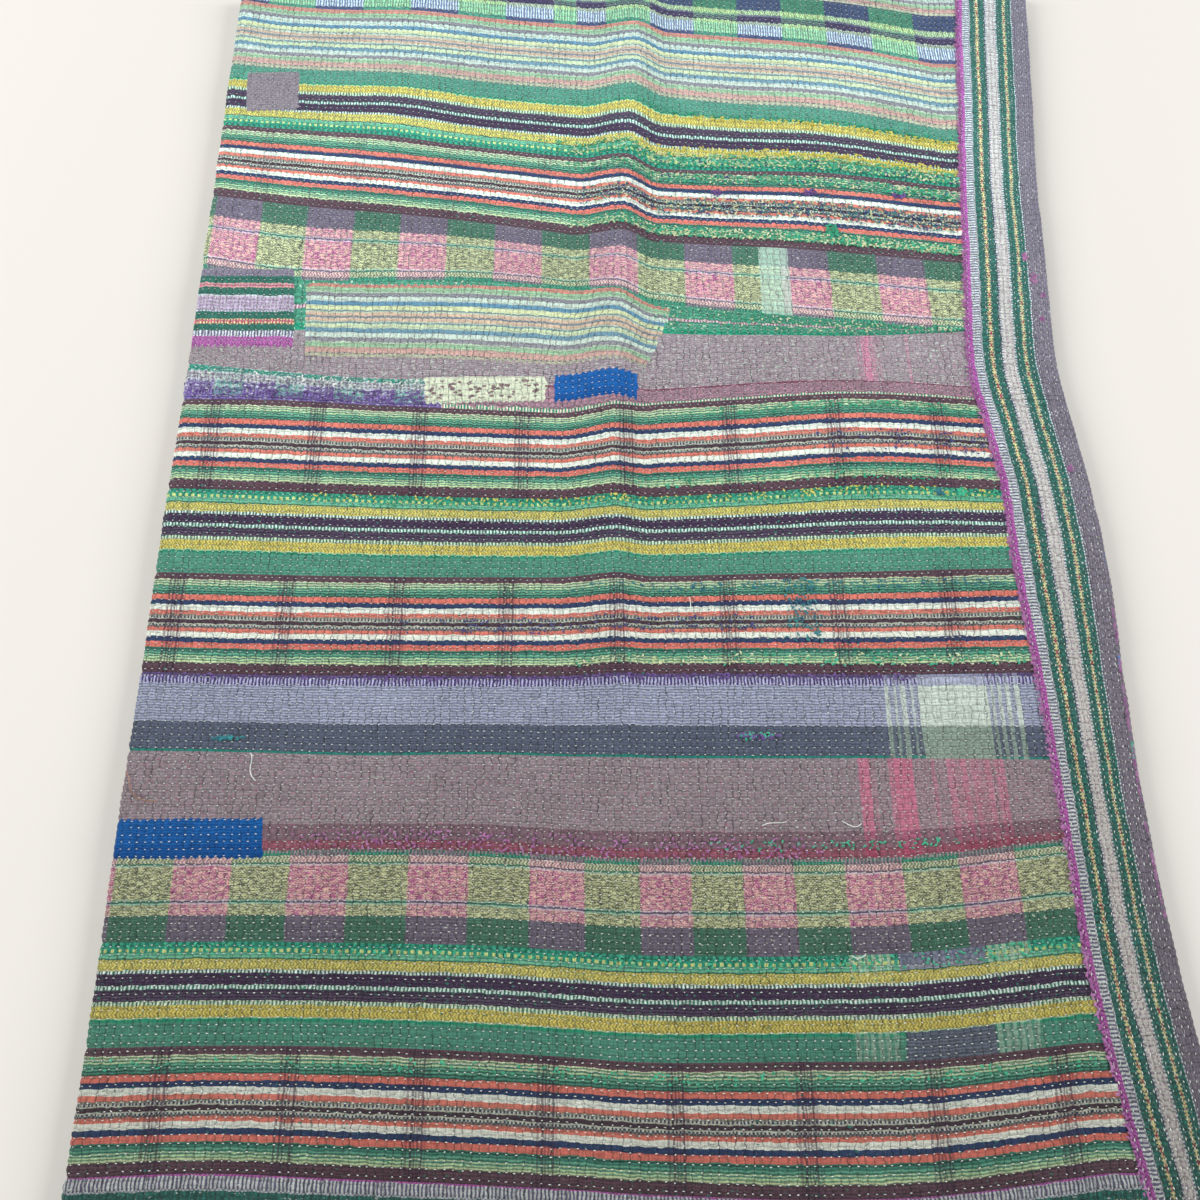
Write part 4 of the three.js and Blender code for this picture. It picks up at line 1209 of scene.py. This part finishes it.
# %% The quilting stitches
all_places = np.concatenate(stitch_places)
hidden = np.zeros(len(all_places), bool)
for left, right, near, far in patch_zone:
    inside = (all_places[:, 0] > left) & (all_places[:, 0] < right)
    inside &= (all_places[:, 1] > near) & (all_places[:, 1] < far) & (all_places[:, 2] < CLOTH / 2 + 0.3)
    hidden |= inside
all_places = all_places[~hidden]
all_places = all_places[rng.random(len(all_places)) > 0.04]
all_places[:, :2] += rng.normal(0, 0.2, (len(all_places), 2))
third = np.array_split(all_places[np.argsort(all_places[:, 1])], 3)
stitches = [sew("quilting_stitches_" + part, places, 1.9, 0.75, "white")
            for part, places in zip(("near", "middle", "far"), third)]
border_places = border_places[rng.random(len(border_places)) > 0.08]
stitches.append(sew("border_stitches", border_places, 2.6, 0.85, "white", across=True))
print(len(all_places) + len(border_places), "stitches")

# %% [markdown]
# ## Darns
# Thin places were darned with whatever thread there was. The darns lie thickest
# over the right half, where the cloth was worn through, and each goes over the
# faded lines of its strip. A table says where, in shares of a strip's width, and
# each thread's stitches become one joined mesh.

# %% Darned places
darned = {
    # near seam, far seam: from and to in shares of the strip, left, right, stitches, thread
    ("block_1", "stripe_1"): [(0.81, 0.93, 330, 715, 620, "emerald"),
        (0.80, 0.93, 360, 715, 190, "cream"), (0.80, 0.93, 340, 715, 90, "navy"),
        (0.38, 0.61, 340, 715, 420, "teal"), (0.38, 0.61, 340, 715, 260, "navy"),
        (0.38, 0.61, 340, 715, 340, "cream"), (0.08, 0.21, 330, 715, 800, "emerald"),
        (0.08, 0.21, 330, 715, 420, "cream")],
    ("stripe_1", "purple_1"): [(0.03, 0.21, 300, 715, 900, "emerald"),
        (0.03, 0.21, 330, 715, 420, "cream"), (0.03, 0.16, 380, 715, 90, "navy"),
        (0.22, 0.31, 380, 715, 260, "yellow"), (0.70, 0.76, 430, 715, 200, "yellow"),
        (0.76, 0.82, 330, 715, 150, "emerald")],
    ("purple_2", "stripe_2"): [(0.83, 0.92, 430, 700, 190, "emerald"),
        (0.07, 0.20, 380, 700, 150, "emerald"), (0.38, 0.60, 540, 700, 110, "navy")],
    ("lavender", "stripe_3"): [(0.83, 0.91, 330, 700, 150, "teal"), (0.42, 0.58, 200, 480, 130, "navy"),
        (0.08, 0.20, 330, 700, 130, "emerald"), (0.08, 0.20, 330, 700, 80, "cream"),
        (0.30, 0.95, 503, 533, 130, "teal")],
    ("stripe_3", "purple_2"): [(0.86, 0.99, 100, 700, 330, "emerald"),
        (0.93, 1.00, 100, 700, 130, "yellow")],
    ("stripe_4", "purple_3"): [(0.86, 0.99, 0, 700, 240, "emerald")],
    ("foot", "stripe_4"): [(0.82, 0.92, 0, 700, 150, "emerald")],
    ("mauve_2", "lavender"): [(0.93, 1.00, 0, 600, 260, "violet")],
    ("block_2", "mauve_2"): [(0.02, 0.22, 130, 520, 260, "magenta"),
        (0.10, 0.20, 430, 620, 60, "emerald")],
    ("mauve_1", "emerald"): [(0.02, 0.95, 400, 700, 260, "emerald"), (0.20, 0.95, 400, 700, 90, "cream")],
    ("stripe_2", "wonky"): [(0.05, 0.55, 0, 215, 330, "violet"), (0.55, 0.95, 0, 215, 120, "white")],
}
knots = [
    # middle x and y, half-width, half-height, stitches, thread: small round or long darns
    (640, 573, 4, 4, 34, "teal"), (658, 573, 4, 4, 34, "emerald"), (748, 811, 3, 5, 26, "magenta"),
    (752, 788, 3, 6, 26, "magenta"), (758, 769, 2, 3, 12, "magenta"), (753, 744, 2, 3, 12, "magenta"),
    (754, 596, 3, 3, 16, "magenta"), (477, 369, 17, 2.6, 46, "violet"), (477, 369, 15, 3.2, 20, "emerald"),
    (75, 371, 13, 1.8, 34, "teal"), (556, 884, 7, 4, 34, "violet"), (640, 880, 6, 4, 30, "violet"),
    (470, 885, 5, 4, 30, "violet"), (574, 842, 7, 6, 60, "emerald"),
]
darn_places = {}
for (near, far), places in darned.items():
    for low, high, left, right, count, thread in places:
        x = left + (right - left) * rng.beta(1.3, 1.0, count)
        y = mix(seam_y(near, x), seam_y(far, x), rng.uniform(low, high, count))
        kept = (bare(x, y) > 0.9) & (x < read_at(side_edge, "seam", y) - 4)
        darn_places.setdefault(thread, []).append(np.stack([x, y], -1)[kept])
for x, y, half_x, half_y, count, thread in knots:
    turn = rng.uniform(0, 2 * np.pi, count)
    reach = rng.uniform(0, 1, count) ** 0.6
    knot = [x + half_x * reach * np.cos(turn), y + half_y * reach * np.sin(turn)]
    darn_places[thread].append(np.stack(knot, -1))
# The torn edge of the side border's magenta strip reaches over the face in loops.
y = rng.uniform(0, TURN_Y, 1100)
x = read_at(side_edge, "seam", y) + rng.normal(0.2, 1.0, len(y))
darn_places["magenta"].append(np.stack([x, y], -1))
for thread, parts in darn_places.items():
    x, y = np.concatenate(parts).T
    height = CLOTH / 2 + 0.5 + PUFF * 0.35 + 0.2 * (x > read_at(side_edge, "seam", y))
    sew("darning_" + thread, np.stack([x, y, height], -1), 3.6, 1.6, thread, slant=0.9)
print(sum(len(part) for parts in darn_places.values() for part in parts), "darning stitches")

# %% [markdown]
# ## Fringe and loose ends
# Edges of the under layers stick out of the side hem as a fringe, and a few
# thread ends were never cut off. A loose end is a path with a round bevel.

# %% Fringe of the hem
fringe_parts = [  # y from, y to, how far it sticks out in mm, threads, colour
    (235, 480, 3.4, 900, "magenta"), (480, 520, 2.4, 70, "blue"), (424, 440, 3.4, 60, "blue"),
    (350, 366, 3.4, 50, "emerald"), (20, 1100, 1.2, 420, "white"),
]
for number, (low, high, reach, count, thread) in enumerate(fringe_parts):
    y = rng.uniform(low, high, count)
    reach = reach * (0.55 + 0.45 * wander(y, 0 * y, 24, 51))
    x = read_at(side_edge, "hem", y) + rng.uniform(-0.6, 1.0, count) * reach * 0.5
    height = CLOTH / 2 + 0.3 + rng.uniform(0, 1, count) * reach * 0.7
    sew(f"hem_fringe_{number}", np.stack([x, y, height], -1), 3.4, 0.8, thread, slant=1.0)

loose_ends = [  # thread, then x and y in mm where it goes
    ("white", (94, 359), (98, 353), (92, 348), (95, 342), (100, 338)),
    ("tan", (2, 346), (7, 338), (4, 331), (12, 326), (20, 323), (28, 324)),
    ("white", (535, 305), (541, 301), (546, 298), (549, 303)),
    ("white", (429, 482), (431, 475), (429, 469)),
    ("white", (476, 302), (483, 306), (490, 302), (494, 305)),
    ("white", (533, 211), (538, 206), (543, 212)),
    ("cream", (300, 771), (296, 766), (301, 762)),
    ("magenta", (719, 560), (724, 553), (720, 546)),
]
for number, (thread, *stops) in enumerate(loose_ends):
    stops = np.array(stops, float)
    line = metres(on_face(stops[:, 0], stops[:, 1], CLOTH / 2 + PUFF + 0.9))
    bpy.ops.object.select_all(action="DESELECT")
    bpy.ops.curve.primitive_nurbs_path_add()
    strand = bpy.context.active_object
    strand.name = f"loose_end_{number}"
    path = strand.data.splines[0]
    path.points.add(max(0, len(line) - len(path.points)))
    for point, place in zip(path.points, list(line) + [line[-1]] * (len(path.points) - len(line))):
        point.co = (*place, 1)
    path.use_endpoint_u = True
    strand.data.resolution_u = 6
    strand.data.bevel_depth = 0.0003
    strand.data.bevel_resolution = 1
    strand.data.use_fill_caps = True
    bpy.ops.object.convert(target="MESH")
    strand.data.materials.append(threads[thread])
    strand.data.shade_smooth()
    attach(strand, "root")
